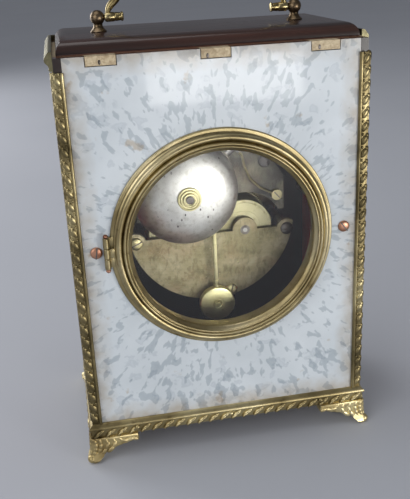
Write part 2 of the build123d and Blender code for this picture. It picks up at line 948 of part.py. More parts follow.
def cap_arc(radius, low, rise):
    """Arc from a point on the axis down to this radius, level where it meets the axis."""
    ball = (radius ** 2 + rise ** 2) / (2 * rise)
    half = math.asin(radius / ball) / 2
    middle = (ball * math.sin(half), low + rise - ball + ball * math.cos(half))
    return ThreePointArc((0, low + rise), middle, (radius, low))


def domed_glass():
    """Glass that rises from a flat rim to a shallow dome."""
    seat = glass_seat()
    back = seat - glass_thickness
    rim = sight_radius + glass_rebate - running_clearance
    foot = sight_radius - seat_gap
    inner_foot = foot - glass_thickness
    edges = [Line((0, back + front_glass_rise), (0, seat + front_glass_rise)),
             cap_arc(foot, seat, front_glass_rise),
             Line((foot, seat), (rim, seat)),
             Line((rim, seat), (rim, back)),
             Line((rim, back), (inner_foot, back)),
             cap_arc(inner_foot, back, front_glass_rise)]
    return turned(edges)


def hinge_pin():
    """Hinge pin with a ball at each end."""
    pin = hinge_bar(-hinge_half, hinge_half, hinge_pin_radius)
    for sign in (-1, 1):
        ball = Pos(hinge_offset, back_face + hinge_lift, sign * (hinge_half + hinge_ball_radius * 0.7))
        pin += ball * Sphere(hinge_ball_radius) - hinge_bar(-hinge_half, hinge_half, hinge_ball_radius)
    return pin


def at_back(shape):
    """A door part at the back of the case."""
    return lifted(shape)


def at_front(shape):
    """A door part at the front, hinged on the other side as seen from there."""
    return lifted(mirror(shape, about=Plane.XZ))


# Movement frame


def on_pillar_circle(angles):
    """Places on the pillars' circle, from angles in degrees."""
    return [(pillar_circle * math.cos(math.radians(angle)), pillar_circle * math.sin(math.radians(angle)))
            for angle in angles]


def ear_pillars():
    return on_pillar_circle(ear_angles)


def back_pillars():
    return ear_pillars() + on_pillar_circle([foot_angle])


def bridge_pillars():
    return on_pillar_circle(bridge_angles)


def back_plate():
    """Lower plate: round below, with a boss at each barrel arbor and an ear at each side."""
    low = Pos(0, -plate_top_edge - plate_radius) * Rectangle(4 * plate_radius, 2 * plate_radius)
    outline = Circle(plate_radius) & low
    for x in (-barrel_x, barrel_x):
        outline += Pos(x, barrel_z) * Circle(arbor_boss_radius)
    for place in ear_pillars():
        outline += Pos(*place) * Circle(ear_radius) & Circle(plate_radius)
    holes = pivot_holes([second_arbor, pin_wheel_arbor])
    holes += pivot_holes([locking_arbor, fly_arbor], fine_pivot_radius)
    holes += pivot_holes([going_barrel_arbor, strike_barrel_arbor], winding_back_pivot_radius)
    holes += pivot_holes(back_pillars(), plate_screw_radius)
    for hole in holes:
        outline -= hole
    return slab(outline, bridge_back, plate_front_of_back)


def upper_bridge():
    """Arched bridge above the barrels, with a tongue down to the centre arbor."""
    half_width = plate_radius - bridge_side_inset
    outline = Circle(plate_radius) & Pos(0, bridge_foot + plate_radius) * Rectangle(
        2 * half_width, 2 * plate_radius)
    for x in (-barrel_x, barrel_x):
        outline -= Pos(x, barrel_z) * Circle(bridge_arch_radius)
    outline += Circle(bridge_tongue)
    outline += Pos(0, third_arbor[1] / 2) * Rectangle(2 * bridge_tongue, third_arbor[1])
    holes = pivot_holes([centre_arbor])
    holes += pivot_holes([third_arbor, escape_arbor], fine_pivot_radius)
    holes += pivot_holes([anchor_arbor, hammer_arbor], arbor_radius)
    holes += pivot_holes(bridge_pillars(), plate_screw_radius)
    holes += pivot_holes([(bell_x, bell_z)], bell_post_radius - running_clearance)
    for hole in holes:
        outline -= hole
    return slab(outline, bridge_back, plate_front_of_back)


def suspension_cock():
    """Slotted block that holds the top of the suspension spring."""
    low = anchor_arbor[1] + suspension_length / 2
    half = cock_width / 2
    cock = block(-half, half, bridge_back, pendulum_y + suspension_width, low, low + cock_height)
    sway = (suspension_length / 2 + suspension_block) * math.tan(math.radians(suspension_swing))
    slot = suspension_thickness / 2 + sway + running_clearance
    cock -= block(-slot, slot, pendulum_y - suspension_width / 2 - running_clearance,
                  pendulum_y + suspension_width / 2 + running_clearance, low - 1,
                  low + suspension_block)
    return cock


def front_plate():
    """Full round plate, with the studs of the minute wheel and the clicks."""
    outline = Circle(plate_radius)
    holes = pivot_holes([second_arbor, anchor_arbor, pin_wheel_arbor, hammer_arbor])
    holes += pivot_holes([third_arbor, escape_arbor, locking_arbor, fly_arbor], fine_pivot_radius)
    holes += pivot_holes([going_barrel_arbor, strike_barrel_arbor], winding_front_pivot_radius)
    holes += pivot_holes([centre_arbor], centre_arbor_radius)
    for hole in holes:
        outline -= hole
    for place in back_pillars() + bridge_pillars():
        outline -= Pos(*place) * Circle(pillar_rivet_radius)
    plate = slab(outline, front_plate_back, front_plate_front)
    stud_end = minute_pinion_front() - body_gap
    plate += disc(minute_arbor, minute_stud_radius, front_plate_front, stud_end)
    for sign in (-1, 1):
        place = click_place(sign)
        plate += disc(place, click_stud_radius, front_plate_front, ratchet_front() - body_gap)
    return plate


def pillars():
    """Five pillars riveted in the front plate and drilled for screws at the back."""
    parts = []
    for place in back_pillars() + bridge_pillars():
        pillar = disc(place, pillar_radius, plate_front_of_back, front_plate_back)
        pillar += disc(place, pillar_rivet_radius, front_plate_back, front_plate_front)
        pillar -= disc(place, plate_screw_radius, plate_front_of_back,
                       bridge_back - plate_screw_length)
        parts.append(pillar)
    return parts


def plate_screws():
    """Slotted screws through the back plate and bridge into the pillars."""
    parts = []
    for place in back_pillars() + bridge_pillars():
        top = bridge_back + plate_screw_head_height
        head = disc(place, plate_screw_head_radius, top, bridge_back)
        head = fillet(head.edges().group_by(Axis.Y)[-1], plate_screw_head_height / 3)
        slot = block(place[0] - plate_screw_head_radius, place[0] + plate_screw_head_radius,
                     top - slot_depth, top, place[1] - slot_width / 2, place[1] + slot_width / 2)
        shank = disc(place, plate_screw_radius, bridge_back, bridge_back - plate_screw_length)
        parts.append(head - slot + shank)
    return parts


# Barrels


def barrel_radius(place, mate):
    """Outer radius of the drum, inside the roots of the barrel's teeth."""
    module = module_of(place, mate, barrel_teeth, second_pinion_leaves)
    return module * barrel_teeth / 2 - wheel_dedendum * module - barrel_root_margin


def barrel(place, mate):
    """Drum with its great wheel, hollow inside and open round the arbor."""
    radius = barrel_radius(place, mate)
    back = depth(barrel_start)
    front = depth(barrel_start + barrel_length)
    drum = disc(place, radius, back, front)
    drum += slab(wheel_outline(place, mate, barrel_teeth, second_pinion_leaves), front,
                 front - barrel_wheel_thickness)
    drum -= disc(place, radius - barrel_wall, back - barrel_wall, front)
    drum -= disc(place, winding_radius + running_clearance, back + 1, front - barrel_wheel_thickness - 1)
    rim = Circle(radius - 2 * barrel_wall) - Circle(radius - 3 * barrel_wall)
    drum -= slab(Pos(*place) * rim, back, back - barrel_wall / 3)
    return drum


def spiral_edges(inner, outer, offset):
    """Quarter-turn arcs of a spiral from the inner to the outer radius."""
    quarters = 4 * spring_turns
    growth = (outer - inner) / quarters

    def point(quarter):
        angle = quarter * math.pi / 2
        radius = inner + growth * quarter + offset
        return (radius * math.cos(angle), radius * math.sin(angle))

    return [ThreePointArc(point(q), point(q + 0.5), point(q + 1)) for q in range(quarters)]


def mainspring(place, mate):
    """A coiled strip between the arbor's hub and the drum."""
    inner = hub_radius + body_gap
    outer = barrel_radius(place, mate) - barrel_wall - spring_strip - body_gap
    first = spiral_edges(inner, outer, 0)
    second = spiral_edges(inner, outer, spring_strip)
    ends = [Line(first[0] @ 0, second[0] @ 0), Line(first[-1] @ 1, second[-1] @ 1)]
    back = depth(barrel_start + barrel_wall + spring_side_gap)
    front = depth(barrel_start + barrel_length - spring_side_gap)
    return slab(Pos(*place) * make_face(first + second + ends), back, front)


def ratchet_front():
    return front_plate_front - ratchet_gap - ratchet_thickness


def ratchet_outline():
    """Saw-toothed outline, each tooth rising slowly and falling at once."""
    pitch = 2 * math.pi / ratchet_teeth
    points = []
    for tooth in range(ratchet_teeth):
        angle = tooth * pitch
        points.append((ratchet_radius * math.cos(angle), ratchet_radius * math.sin(angle)))
        low = ratchet_radius - ratchet_tooth
        points.append((low * math.cos(angle + pitch * 0.1), low * math.sin(angle + pitch * 0.1)))
    return polygon(points)


def winding_arbor(place):
    """Arbor of a barrel: pivots, hub, ratchet wheel and the square for the key."""
    back = plate_front_of_back - body_gap
    front = front_plate_back + body_gap
    hub_back = depth(barrel_start + barrel_wall + spring_side_gap)
    hub_front = depth(barrel_start + barrel_length - spring_side_gap)
    shaft = disc(place, winding_radius, back, front)
    shaft += disc(place, winding_back_pivot_radius, bridge_back + winding_pivot_stand, back)
    shaft += disc(place, hub_radius, hub_back, hub_front)
    shaft += disc(place, winding_front_pivot_radius, front, front_plate_front - ratchet_gap)
    shaft += slab(Pos(*place) * ratchet_outline(), front_plate_front - ratchet_gap, ratchet_front())
    square = Pos(*place) * Rectangle(winding_square, winding_square)
    shaft += slab(square, ratchet_front(), dial_front + winding_square_recess)
    return shaft


def click_place(sign):
    """Pivot of the click, outward of its ratchet wheel."""
    return (sign * (barrel_x + click_distance), barrel_z)


def click(sign):
    """Pawl whose nose rests just above the ratchet's teeth."""
    x, z = click_place(sign)
    outline = Circle(click_width / 2 + click_stud_radius)
    nose_reach = ratchet_radius + click_nose_gap
    nose = (sign * (nose_reach * math.cos(math.radians(40)) - click_distance),
            nose_reach * math.sin(math.radians(40)))
    heel = (sign * (click_width / 2 + click_stud_radius), 0)
    tail = (-heel[0] / 2, click_width / 2 + click_stud_radius / 2)
    outline += polygon([nose, (nose[0] + sign * click_width, nose[1] + click_width / 2), heel, (0, -1), tail])
    outline -= Circle(click_stud_radius + running_clearance)
    outline = Pos(x, z) * outline
    outline -= Pos(sign * barrel_x, barrel_z) * Circle(nose_reach)
    return slab(outline, front_plate_front - ratchet_gap, ratchet_front())


# Going train


def second_wheel():
    barrel_front = depth(barrel_start + barrel_length)
    wheel = crossed_wheel(second_arbor, centre_arbor, second_teeth, centre_pinion_leaves,
                          depth(second_wheel_depth))
    pinion = long_pinion(second_arbor, going_barrel_arbor, second_pinion_leaves, barrel_teeth,
                         barrel_front, barrel_wheel_thickness)
    return arbor(second_arbor) + wheel + pinion


def centre_wheel():
    """Centre wheel on the arbor that also carries the hands."""
    wheel = crossed_wheel(centre_arbor, third_arbor, centre_teeth, third_pinion_leaves,
                          depth(centre_wheel_depth))
    pinion = long_pinion(centre_arbor, second_arbor, centre_pinion_leaves, second_teeth,
                         depth(second_wheel_depth))
    shaft = arbor(centre_arbor)
    shaft += disc(centre_arbor, centre_arbor_radius, depth(second_wheel_depth), hand_nut_back())
    shaft += disc(centre_arbor, arbor_radius, hand_nut_back(), hand_nut_front() + hand_nut_height / 3)
    return shaft + wheel + pinion


def third_wheel():
    wheel = crossed_wheel(third_arbor, escape_arbor, third_teeth, escape_pinion_leaves,
                          depth(third_wheel_depth))
    pinion = long_pinion(third_arbor, centre_arbor, third_pinion_leaves, centre_teeth,
                         depth(centre_wheel_depth))
    return fine_arbor(third_arbor) + wheel + pinion


def escape_outline():
    """Escape wheel with raked pointed teeth and four spokes."""
    pitch = 2 * math.pi / escape_teeth
    root = escape_radius - escape_tooth_depth
    points = []
    for tooth in range(escape_teeth):
        angle = tooth * pitch
        for radius, turn in ((root, 0.0), (escape_radius, 0.35), (escape_radius, 0.5), (root, 0.8)):
            points.append((radius * math.cos(angle + turn * pitch), radius * math.sin(angle + turn * pitch)))
    return Pos(*escape_arbor) * polygon(points) - crossings(
        escape_arbor, root * (1 - hub_share / 2), root * hub_share, 4, root * hub_share)


def escape_wheel():
    back = depth(escape_wheel_depth)
    wheel = slab(escape_outline(), back, back - wheel_thickness)
    pinion = long_pinion(escape_arbor, third_arbor, escape_pinion_leaves, third_teeth,
                         depth(third_wheel_depth))
    return fine_arbor(escape_arbor) + wheel + pinion


def anchor():
    """Anchor with two pallets clear of the escape wheel, its arbor, crutch and fork."""
    x, z = anchor_arbor
    reach = escape_radius + pallet_gap
    half = anchor_arm_width / 2
    angle = math.radians(90 - pallet_angle)
    tip = (escape_arbor[0] + reach * math.cos(angle), escape_arbor[1] + reach * math.sin(angle))
    elbow = (tip[0] + pallet_reach, tip[1] + pallet_length)
    right = [tip, (tip[0] + half, tip[1]), (elbow[0] + half, elbow[1])]
    left = [(-point_x, point_z) for point_x, point_z in reversed(right)]
    outline = polygon([*right, (x, z + anchor_arm_width), *left, (half - elbow[0], elbow[1]),
                       (x, z - anchor_arm_width), (elbow[0] - half, elbow[1])])
    outline += Pos(x, z) * Circle(anchor_hub_radius)
    back = depth(escape_wheel_depth) + (anchor_thickness - wheel_thickness) / 2
    part = slab(outline, back, back - anchor_thickness)
    crutch_y = bridge_back + crutch_setback
    part += disc(anchor_arbor, arbor_radius, crutch_y + crutch_end, front_plate_back + body_gap)
    part += disc(anchor_arbor, pivot_radius, front_plate_back + body_gap,
                 front_plate_back + body_gap - pivot_length)
    part += disc(anchor_arbor, anchor_hub_radius, crutch_y, crutch_y - crutch_thickness)
    low = z - crutch_drop
    part += block(x - crutch_width / 2, x + crutch_width / 2, crutch_y - crutch_thickness, crutch_y, low, z)
    gap = rod_radius + fork_gap
    fork_front = crutch_y - crutch_thickness
    fork_back = pendulum_y + rod_radius
    part += block(-gap - fork_wall, gap + fork_wall, fork_front, crutch_y, low - fork_length, low)
    for sign in (-1, 1):
        low_x, high_x = sorted((sign * gap, sign * (gap + fork_wall)))
        part += block(low_x, high_x, fork_front, fork_back, low - fork_length, low)
    return part


def pendulum_top():
    """Lower end of the suspension spring's free part."""
    return anchor_arbor[1] - suspension_length / 2


def suspension_spring():
    """Thin strip held in the cock, with a brass block below that hooks the rod."""
    half = suspension_thickness / 2
    high = anchor_arbor[1] + suspension_length / 2 + suspension_block - seat_gap
    strip = block(-half, half, pendulum_y - suspension_width / 2, pendulum_y + suspension_width / 2,
                  pendulum_top(), high)
    low_block = block(-ferrule_radius, ferrule_radius, pendulum_y - ferrule_radius,
                      pendulum_y + ferrule_radius, pendulum_top() - suspension_block, pendulum_top())
    return strip + low_block


def pendulum_rod():
    """Wire rod from the suspension to the bob, with a ferrule above the bob."""
    bob_z = anchor_arbor[1] - bob_drop
    high = pendulum_top() - suspension_block
    rod = upright(0, pendulum_y, bob_z, high, rod_radius)
    top_of_bob = bob_z + bob_radius
    rod += upright(0, pendulum_y, top_of_bob, top_of_bob + ferrule_length, ferrule_radius)
    return rod


def pendulum_bob():
    """Lens-edged brass disc bored for the rod, with a round nut on its back."""
    bob_z = anchor_arbor[1] - bob_drop
    half = bob_thickness / 2
    bob = disc((0, bob_z), bob_radius, pendulum_y + half, pendulum_y - half)
    bob = chamfer(bob.edges().filter_by(GeomType.CIRCLE), bob_bevel)
    bob += disc((0, bob_z), bob_nut_radius, pendulum_y + half + bob_nut_height, pendulum_y + half)
    return bob - upright(0, pendulum_y, bob_z, bob_z + 2 * bob_radius, rod_radius)


# Striking train


def pin_wheel():
    """Wheel whose pins raise the hammer's tail."""
    back = depth(pin_wheel_depth)
    wheel = crossed_wheel(pin_wheel_arbor, locking_arbor, pin_wheel_teeth, locking_pinion_leaves, back)
    pinion = long_pinion(pin_wheel_arbor, strike_barrel_arbor, pin_wheel_pinion_leaves, barrel_teeth,
                         depth(barrel_start + barrel_length), barrel_wheel_thickness)
    part = arbor(pin_wheel_arbor) + wheel + pinion
    for index in range(pin_wheel_pins):
        angle = 2 * math.pi * index / pin_wheel_pins
        place = (pin_wheel_arbor[0] + strike_pin_circle * math.cos(angle),
                 pin_wheel_arbor[1] + strike_pin_circle * math.sin(angle))
        front = back - wheel_thickness - strike_pin_length
        part += disc(place, strike_pin_radius, back, front)
    return part


def locking_wheel():
    wheel = crossed_wheel(locking_arbor, fly_arbor, locking_teeth, fly_pinion_leaves,
                          depth(locking_wheel_depth), spokes=4)
    pinion = long_pinion(locking_arbor, pin_wheel_arbor, locking_pinion_leaves, pin_wheel_teeth,
                         depth(pin_wheel_depth))
    return fine_arbor(locking_arbor) + wheel + pinion


def fly():
    """Two-bladed air brake at the end of the striking train."""
    pinion = long_pinion(fly_arbor, locking_arbor, fly_pinion_leaves, locking_teeth,
                         depth(locking_wheel_depth))
    x, z = fly_arbor
    blade = block(x - fly_half_width, x + fly_half_width, depth(fly_depth + fly_length),
                  depth(fly_depth), z - fly_blade_thickness / 2, z + fly_blade_thickness / 2)
    return fine_arbor(fly_arbor) + pinion + blade


def hammer_head_ends():
    """Face and back of the hammer's head, on the line from the bell's centre."""
    aim = math.radians(hammer_aim)
    near = bell_radius + hammer_bell_gap
    far = near + hammer_head_length
    return [(bell_x + reach * math.cos(aim), bell_z + reach * math.sin(aim)) for reach in (near, far)]


def hammer():
    """Hammer: arbor, tail between the plates, collet, bent wire and head beside the bell's rim."""
    x, z = hammer_arbor
    collet_y = bridge_back + body_gap
    wire_y = collet_y + hammer_collet_length / 2
    rim_y = bridge_back + bell_rim_stand + hammer_head_radius / 2
    part = disc(hammer_arbor, arbor_radius, collet_y, front_plate_back + body_gap)
    part += disc(hammer_arbor, pivot_radius, front_plate_back + body_gap,
                 front_plate_back + body_gap - pivot_length)
    part += disc(hammer_arbor, hammer_collet_radius, collet_y + hammer_collet_length, collet_y)
    near, far = hammer_head_ends()
    head_middle = ((near[0] + far[0]) / 2, (near[1] + far[1]) / 2)
    head_aim = math.degrees(direction(near, far))
    part += Pos(head_middle[0], rim_y, head_middle[1]) * Rot(0, -head_aim, 0) * Rot(0, 90, 0) * Cylinder(
        hammer_head_radius, hammer_head_length)
    points = [(x + hammer_collet_radius / 2, wire_y, z + hammer_wire_start)]
    points += [(wire_x, wire_y + rise, wire_z) for wire_x, wire_z, rise in hammer_wire_route]
    points += [(head_middle[0], rim_y, head_middle[1])]
    path = FilletPolyline(*points, radius=hammer_wire_bend)
    part += sweep(Plane(origin=path @ 0, z_dir=path % 0) * Circle(hammer_wire_radius), path)
    clear = strike_pin_circle + strike_pin_radius + hammer_pin_gap
    angle = math.radians(hammer_tail_angle)
    tip = (pin_wheel_arbor[0] + clear * math.cos(angle), pin_wheel_arbor[1] + clear * math.sin(angle))
    half = arbor_radius
    knee = hammer_tail_knee
    tail = polygon([(x, z + half), (knee[0] + half, knee[1] + half), (tip[0] + 2 * half, tip[1]), tip,
                    (knee[0] - half, knee[1] - half), (x - half, z - half)])
    tail += Pos(x, z) * Circle(2 * arbor_radius)
    tail_back = depth(hammer_tail_depth)
    return part + slab(tail, tail_back, tail_back - hammer_tail_thickness)


# Bell


def bell_rim_y():
    return bridge_back + bell_rim_stand


def bell():
    """Shallow dome open towards the movement."""
    rim = bell_rim_y()
    crown = rim + bell_height
    shoulder = bell_radius * bell_shoulder_share

    def flank(radius, top):
        """Rising side from the rim, and the flatter crown inside it."""
        high = top - bell_shoulder_drop
        side = ThreePointArc((radius, rim), ((radius + shoulder) / 2 + bell_swell,
                                             (rim + high) / 2 + bell_swell), (shoulder, high))
        cap = ThreePointArc((shoulder, high), ((shoulder + bell_seat_radius) / 2, (top + high) / 2
                                               + bell_swell / 3), (bell_seat_radius, top))
        return [side, cap, Line((bell_seat_radius, top), (bell_hole_radius, top))]

    edges = flank(bell_radius, crown) + flank(bell_radius - bell_wall, crown - bell_wall)
    edges += [Line((bell_radius, rim), (bell_radius - bell_wall, rim)),
              Line((bell_hole_radius, crown), (bell_hole_radius, crown - bell_wall))]
    return Pos(bell_x, 0, bell_z) * turned(edges)


def bell_post():
    """Post from the bridge, with a shoulder under the bell and a thread above it."""
    crown = bell_rim_y() + bell_height
    place = (bell_x, bell_z)
    under = crown - bell_wall
    post = disc(place, bell_post_radius, crown + bell_nut_height, plate_front_of_back)
    return post + disc(place, bell_seat_radius, under, under - bell_seat_height)


def bell_nut():
    """Turned nut of stepped rings."""
    low = bell_rim_y() + bell_height
    place = (bell_x, bell_z)
    nut = disc(place, bell_nut_radius, low + bell_nut_height / bell_nut_steps, low)
    for step in range(1, bell_nut_steps):
        radius = bell_nut_radius * (1 - step / (bell_nut_steps + 1))
        top = low + bell_nut_height * (step + 1) / bell_nut_steps
        nut += disc(place, radius, top, low)
    return nut - disc(place, bell_post_radius, low + bell_nut_height, low)


# Dial, motion work and hands


def dial():
    """Dial plate with its winding holes and the feet that stand on the front plate."""
    face = Circle(dial_radius) - Circle(dial_centre_hole)
    for place in (going_barrel_arbor, strike_barrel_arbor):
        face -= Pos(*place) * Circle(winding_hole_radius)
    plate = slab(face, dial_back, dial_front)
    for index in range(dial_foot_count):
        angle = math.radians(90 + 360 / dial_foot_count * index)
        place = (dial_foot_circle * math.cos(angle), dial_foot_circle * math.sin(angle))
        plate += disc(place, dial_foot_radius, front_plate_front, dial_back)
    return plate


def cannon_back():
    return front_plate_front - cannon_start


def minute_wheel_back():
    return cannon_back() - minute_wheel_gap


def hour_wheel_back():
    return front_plate_front - hour_wheel_start


def minute_pinion_front():
    return hour_wheel_back() - wheel_thickness - pinion_overhang


def hour_hand_back():
    return dial_front - hour_hand_stand


def minute_hand_back():
    return dial_front - minute_hand_stand


def hand_nut_back():
    return minute_hand_back() - hand_thickness


def hand_nut_front():
    return hand_nut_back() - hand_nut_height


def cannon_pinion():
    """Pinion and pipe that carry the minute hand."""
    outline = pinion_outline(centre_arbor, minute_arbor, cannon_leaves, minute_teeth)
    part = slab(outline, cannon_back(), cannon_back() - cannon_pinion_length)
    part += disc(centre_arbor, cannon_radius, cannon_back(), hand_nut_back())
    return part - disc(centre_arbor, centre_arbor_radius, cannon_back() + 1, hand_nut_back() - 1)


def minute_wheel():
    """Wheel driven by the cannon pinion, with the pinion that drives the hour wheel."""
    wheel = wheel_outline(minute_arbor, centre_arbor, minute_teeth, cannon_leaves)
    back = minute_wheel_back()
    part = slab(wheel, back, back - wheel_thickness)
    pinion = pinion_outline(minute_arbor, centre_arbor, minute_pinion_leaves, hour_teeth)
    part += slab(pinion, back - wheel_thickness, minute_pinion_front())
    return part - disc(minute_arbor, minute_stud_radius + running_clearance, back + 1,
                       minute_pinion_front() - 1)


def hour_wheel():
    """Hour wheel with its pipe through the dial."""
    back = hour_wheel_back()
    wheel = wheel_outline(centre_arbor, minute_arbor, hour_teeth, minute_pinion_leaves)
    part = slab(wheel, back, back - wheel_thickness)
    pipe_end = hour_hand_back() - hand_thickness
    part += disc(centre_arbor, hour_pipe_radius, back, pipe_end)
    return part - disc(centre_arbor, cannon_radius + running_clearance, back + 1, pipe_end - 1)


def hand(length, hole, back, clock_angle):
    """A tapering hand with a pierced ring near its tip, pointing at a clockwise angle."""
    ring_z = length * 0.7
    outline = Circle(hole + hand_collar)
    outline += polygon([(-hand_width / 2, 0), (hand_width / 2, 0), (hand_width / 3, ring_z),
                        (-hand_width / 3, ring_z)])
    outline += Pos(0, ring_z) * Circle(hand_ring_radius)
    outline += polygon([(-hand_width / 2, ring_z), (hand_width / 2, ring_z), (0, length)])
    outline -= Pos(0, ring_z) * Circle(hand_ring_radius - hand_ring_width)
    outline -= Circle(hole)
    return slab(Rot(0, 0, -clock_angle) * outline, back, back - hand_thickness)


def hour_hand():
    return hand(hour_hand_length, hour_pipe_radius, hour_hand_back(), hour_angle)


def minute_hand():
    return hand(minute_hand_length, cannon_radius, minute_hand_back(), minute_angle)


def hand_nut():
    """Domed nut that holds the minute hand."""
    nut = disc(centre_arbor, hand_nut_radius, hand_nut_back(), hand_nut_front())
    nut = fillet(nut.edges().group_by(Axis.Y)[0], hand_nut_height / 2)
    return nut - disc(centre_arbor, arbor_radius, hand_nut_back(), hand_nut_front() + hand_nut_height / 3)


def group(parts):
    """Separate solids that share one node."""
    return Compound(children=list(parts))


def movement(parts):
    """Movement parts at the height of the dial's centre."""
    if isinstance(parts, list):
        return group([lifted(part) for part in parts])
    return lifted(parts)


nodes = {
    "base_board": base_board(),
    "side_board_left": side_board(-1),
    "side_board_right": side_board(1),
    "top_board": top_board(),
    "front_board": front_board(),
    "back_board": back_board(),
    "back_panel": back_panel(),
    "roof": roof(),
    "case_lining": case_lining(),
    "case_screws": group(case_screws()),
    "base_moulding": group(base_moulding()),
    "moulding_pins": group(moulding_pins()),
    "cornice": group(cornice()),
    "corner_trims": group(corner_trims()),
    "feet": group(feet()),
    "handle_posts": group([handle_post(-1), handle_post(1)]),
    "handle_bail": handle_bail(),
    "rear_bezel_ring": at_back(bezel_ring(False)),
    "rear_door_bezel": at_back(door_bezel()),
    "rear_door_glass": at_back(flat_glass()),
    "front_bezel_ring": at_front(bezel_ring(True)),
    "front_door_bezel": at_front(door_bezel()),
    "front_door_glass": at_front(domed_glass()),
    "hinge_pins": group([at_back(hinge_pin()), at_front(hinge_pin())]),
    "back_plate": movement(back_plate()),
    "upper_bridge": movement(upper_bridge()),
    "front_plate": movement(front_plate()),
    "pillars": movement(pillars()),
    "plate_screws": movement(plate_screws()),
    "going_barrel": movement(barrel(going_barrel_arbor, second_arbor)),
    "going_mainspring": movement(mainspring(going_barrel_arbor, second_arbor)),
    "going_arbor": movement(winding_arbor(going_barrel_arbor)),
    "going_click": movement(click(1)),
    "second_wheel": movement(second_wheel()),
    "centre_wheel": movement(centre_wheel()),
    "third_wheel": movement(third_wheel()),
    "escape_wheel": movement(escape_wheel()),
    "anchor": movement(anchor()),
    "suspension_cock": movement(suspension_cock()),
    "suspension_spring": movement(suspension_spring()),
    "pendulum_rod": movement(pendulum_rod()),
    "pendulum_bob": movement(pendulum_bob()),
    "strike_barrel": movement(barrel(strike_barrel_arbor, pin_wheel_arbor)),
    "strike_mainspring": movement(mainspring(strike_barrel_arbor, pin_wheel_arbor)),
    "strike_arbor": movement(winding_arbor(strike_barrel_arbor)),
    "strike_click": movement(click(-1)),
    "pin_wheel": movement(pin_wheel()),
    "locking_wheel": movement(locking_wheel()),
    "fly": movement(fly()),
    "hammer": movement(hammer()),
    "bell": movement(bell()),
    "bell_post": movement(bell_post()),
    "bell_nut": movement(bell_nut()),
    "dial": movement(dial()),
    "cannon_pinion": movement(cannon_pinion()),
    "minute_wheel": movement(minute_wheel()),
    "hour_wheel": movement(hour_wheel()),
    "hour_hand": movement(hour_hand()),
    "minute_hand": movement(minute_hand()),
    "hand_nut": movement(hand_nut()),
}

os.makedirs("parts", exist_ok=True)
for name, shape in nodes.items():
    export_step(shape, f"parts/{name}.step")
print(len(nodes), "nodes written")
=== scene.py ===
# %% [markdown]
# An officer's clock, dressed around its CAD frame.
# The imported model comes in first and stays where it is. Every new piece below is built in metres, in the
# same frame: +Z up, the dial towards -Y, the back door towards +Y.

# %% Load the frame
import bmesh
import bpy
import math
from mathutils import Matrix, Vector


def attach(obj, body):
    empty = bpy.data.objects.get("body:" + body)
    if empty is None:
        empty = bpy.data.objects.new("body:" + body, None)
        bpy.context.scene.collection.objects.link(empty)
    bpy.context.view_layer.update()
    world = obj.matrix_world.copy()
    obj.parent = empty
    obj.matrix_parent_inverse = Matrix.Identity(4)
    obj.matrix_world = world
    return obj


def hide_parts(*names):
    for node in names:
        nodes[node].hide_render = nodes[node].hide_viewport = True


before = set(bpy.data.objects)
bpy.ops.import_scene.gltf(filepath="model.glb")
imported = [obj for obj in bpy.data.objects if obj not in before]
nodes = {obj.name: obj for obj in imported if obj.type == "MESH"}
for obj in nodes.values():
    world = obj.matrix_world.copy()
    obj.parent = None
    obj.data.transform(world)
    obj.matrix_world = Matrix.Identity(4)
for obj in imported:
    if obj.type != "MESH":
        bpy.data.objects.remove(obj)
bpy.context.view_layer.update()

# %% [markdown]
# Sizes that several pieces share are written once, in millimetres. They are the CAD part's own sizes:
# heights are above the floor, and the back is towards +Y.

# %% Shared sizes
MM = 0.001
DOOR_HEIGHT = 120.5
BACK_FACE = 43.0
SIDE = 75.0
PLATE_BACK = 13.0
DIAL_FACE = -38.4
HINGE = (59.2, 45.9, DOOR_HEIGHT)
BARREL_SIDE = 18.4
BARREL_HEIGHT = 113.3
BELL = (14.8, 0, 140.5)
HAMMER_HEAD = (-9.7, 22.6, 163.3)
print("the doors' middle is at", DOOR_HEIGHT, "mm")

# %% [markdown]
# The finishes come first. Each is a small graph of noise and wave patterns read from Object coordinates,
# so a pattern stays on the piece from every side. A helper class keeps each finish to a few lines.

# %% A helper for finishes
WHITE = (1, 1, 1)
MIX_FACTOR, MIX_FIRST, MIX_SECOND, MIX_RESULT = 0, 6, 7, 2


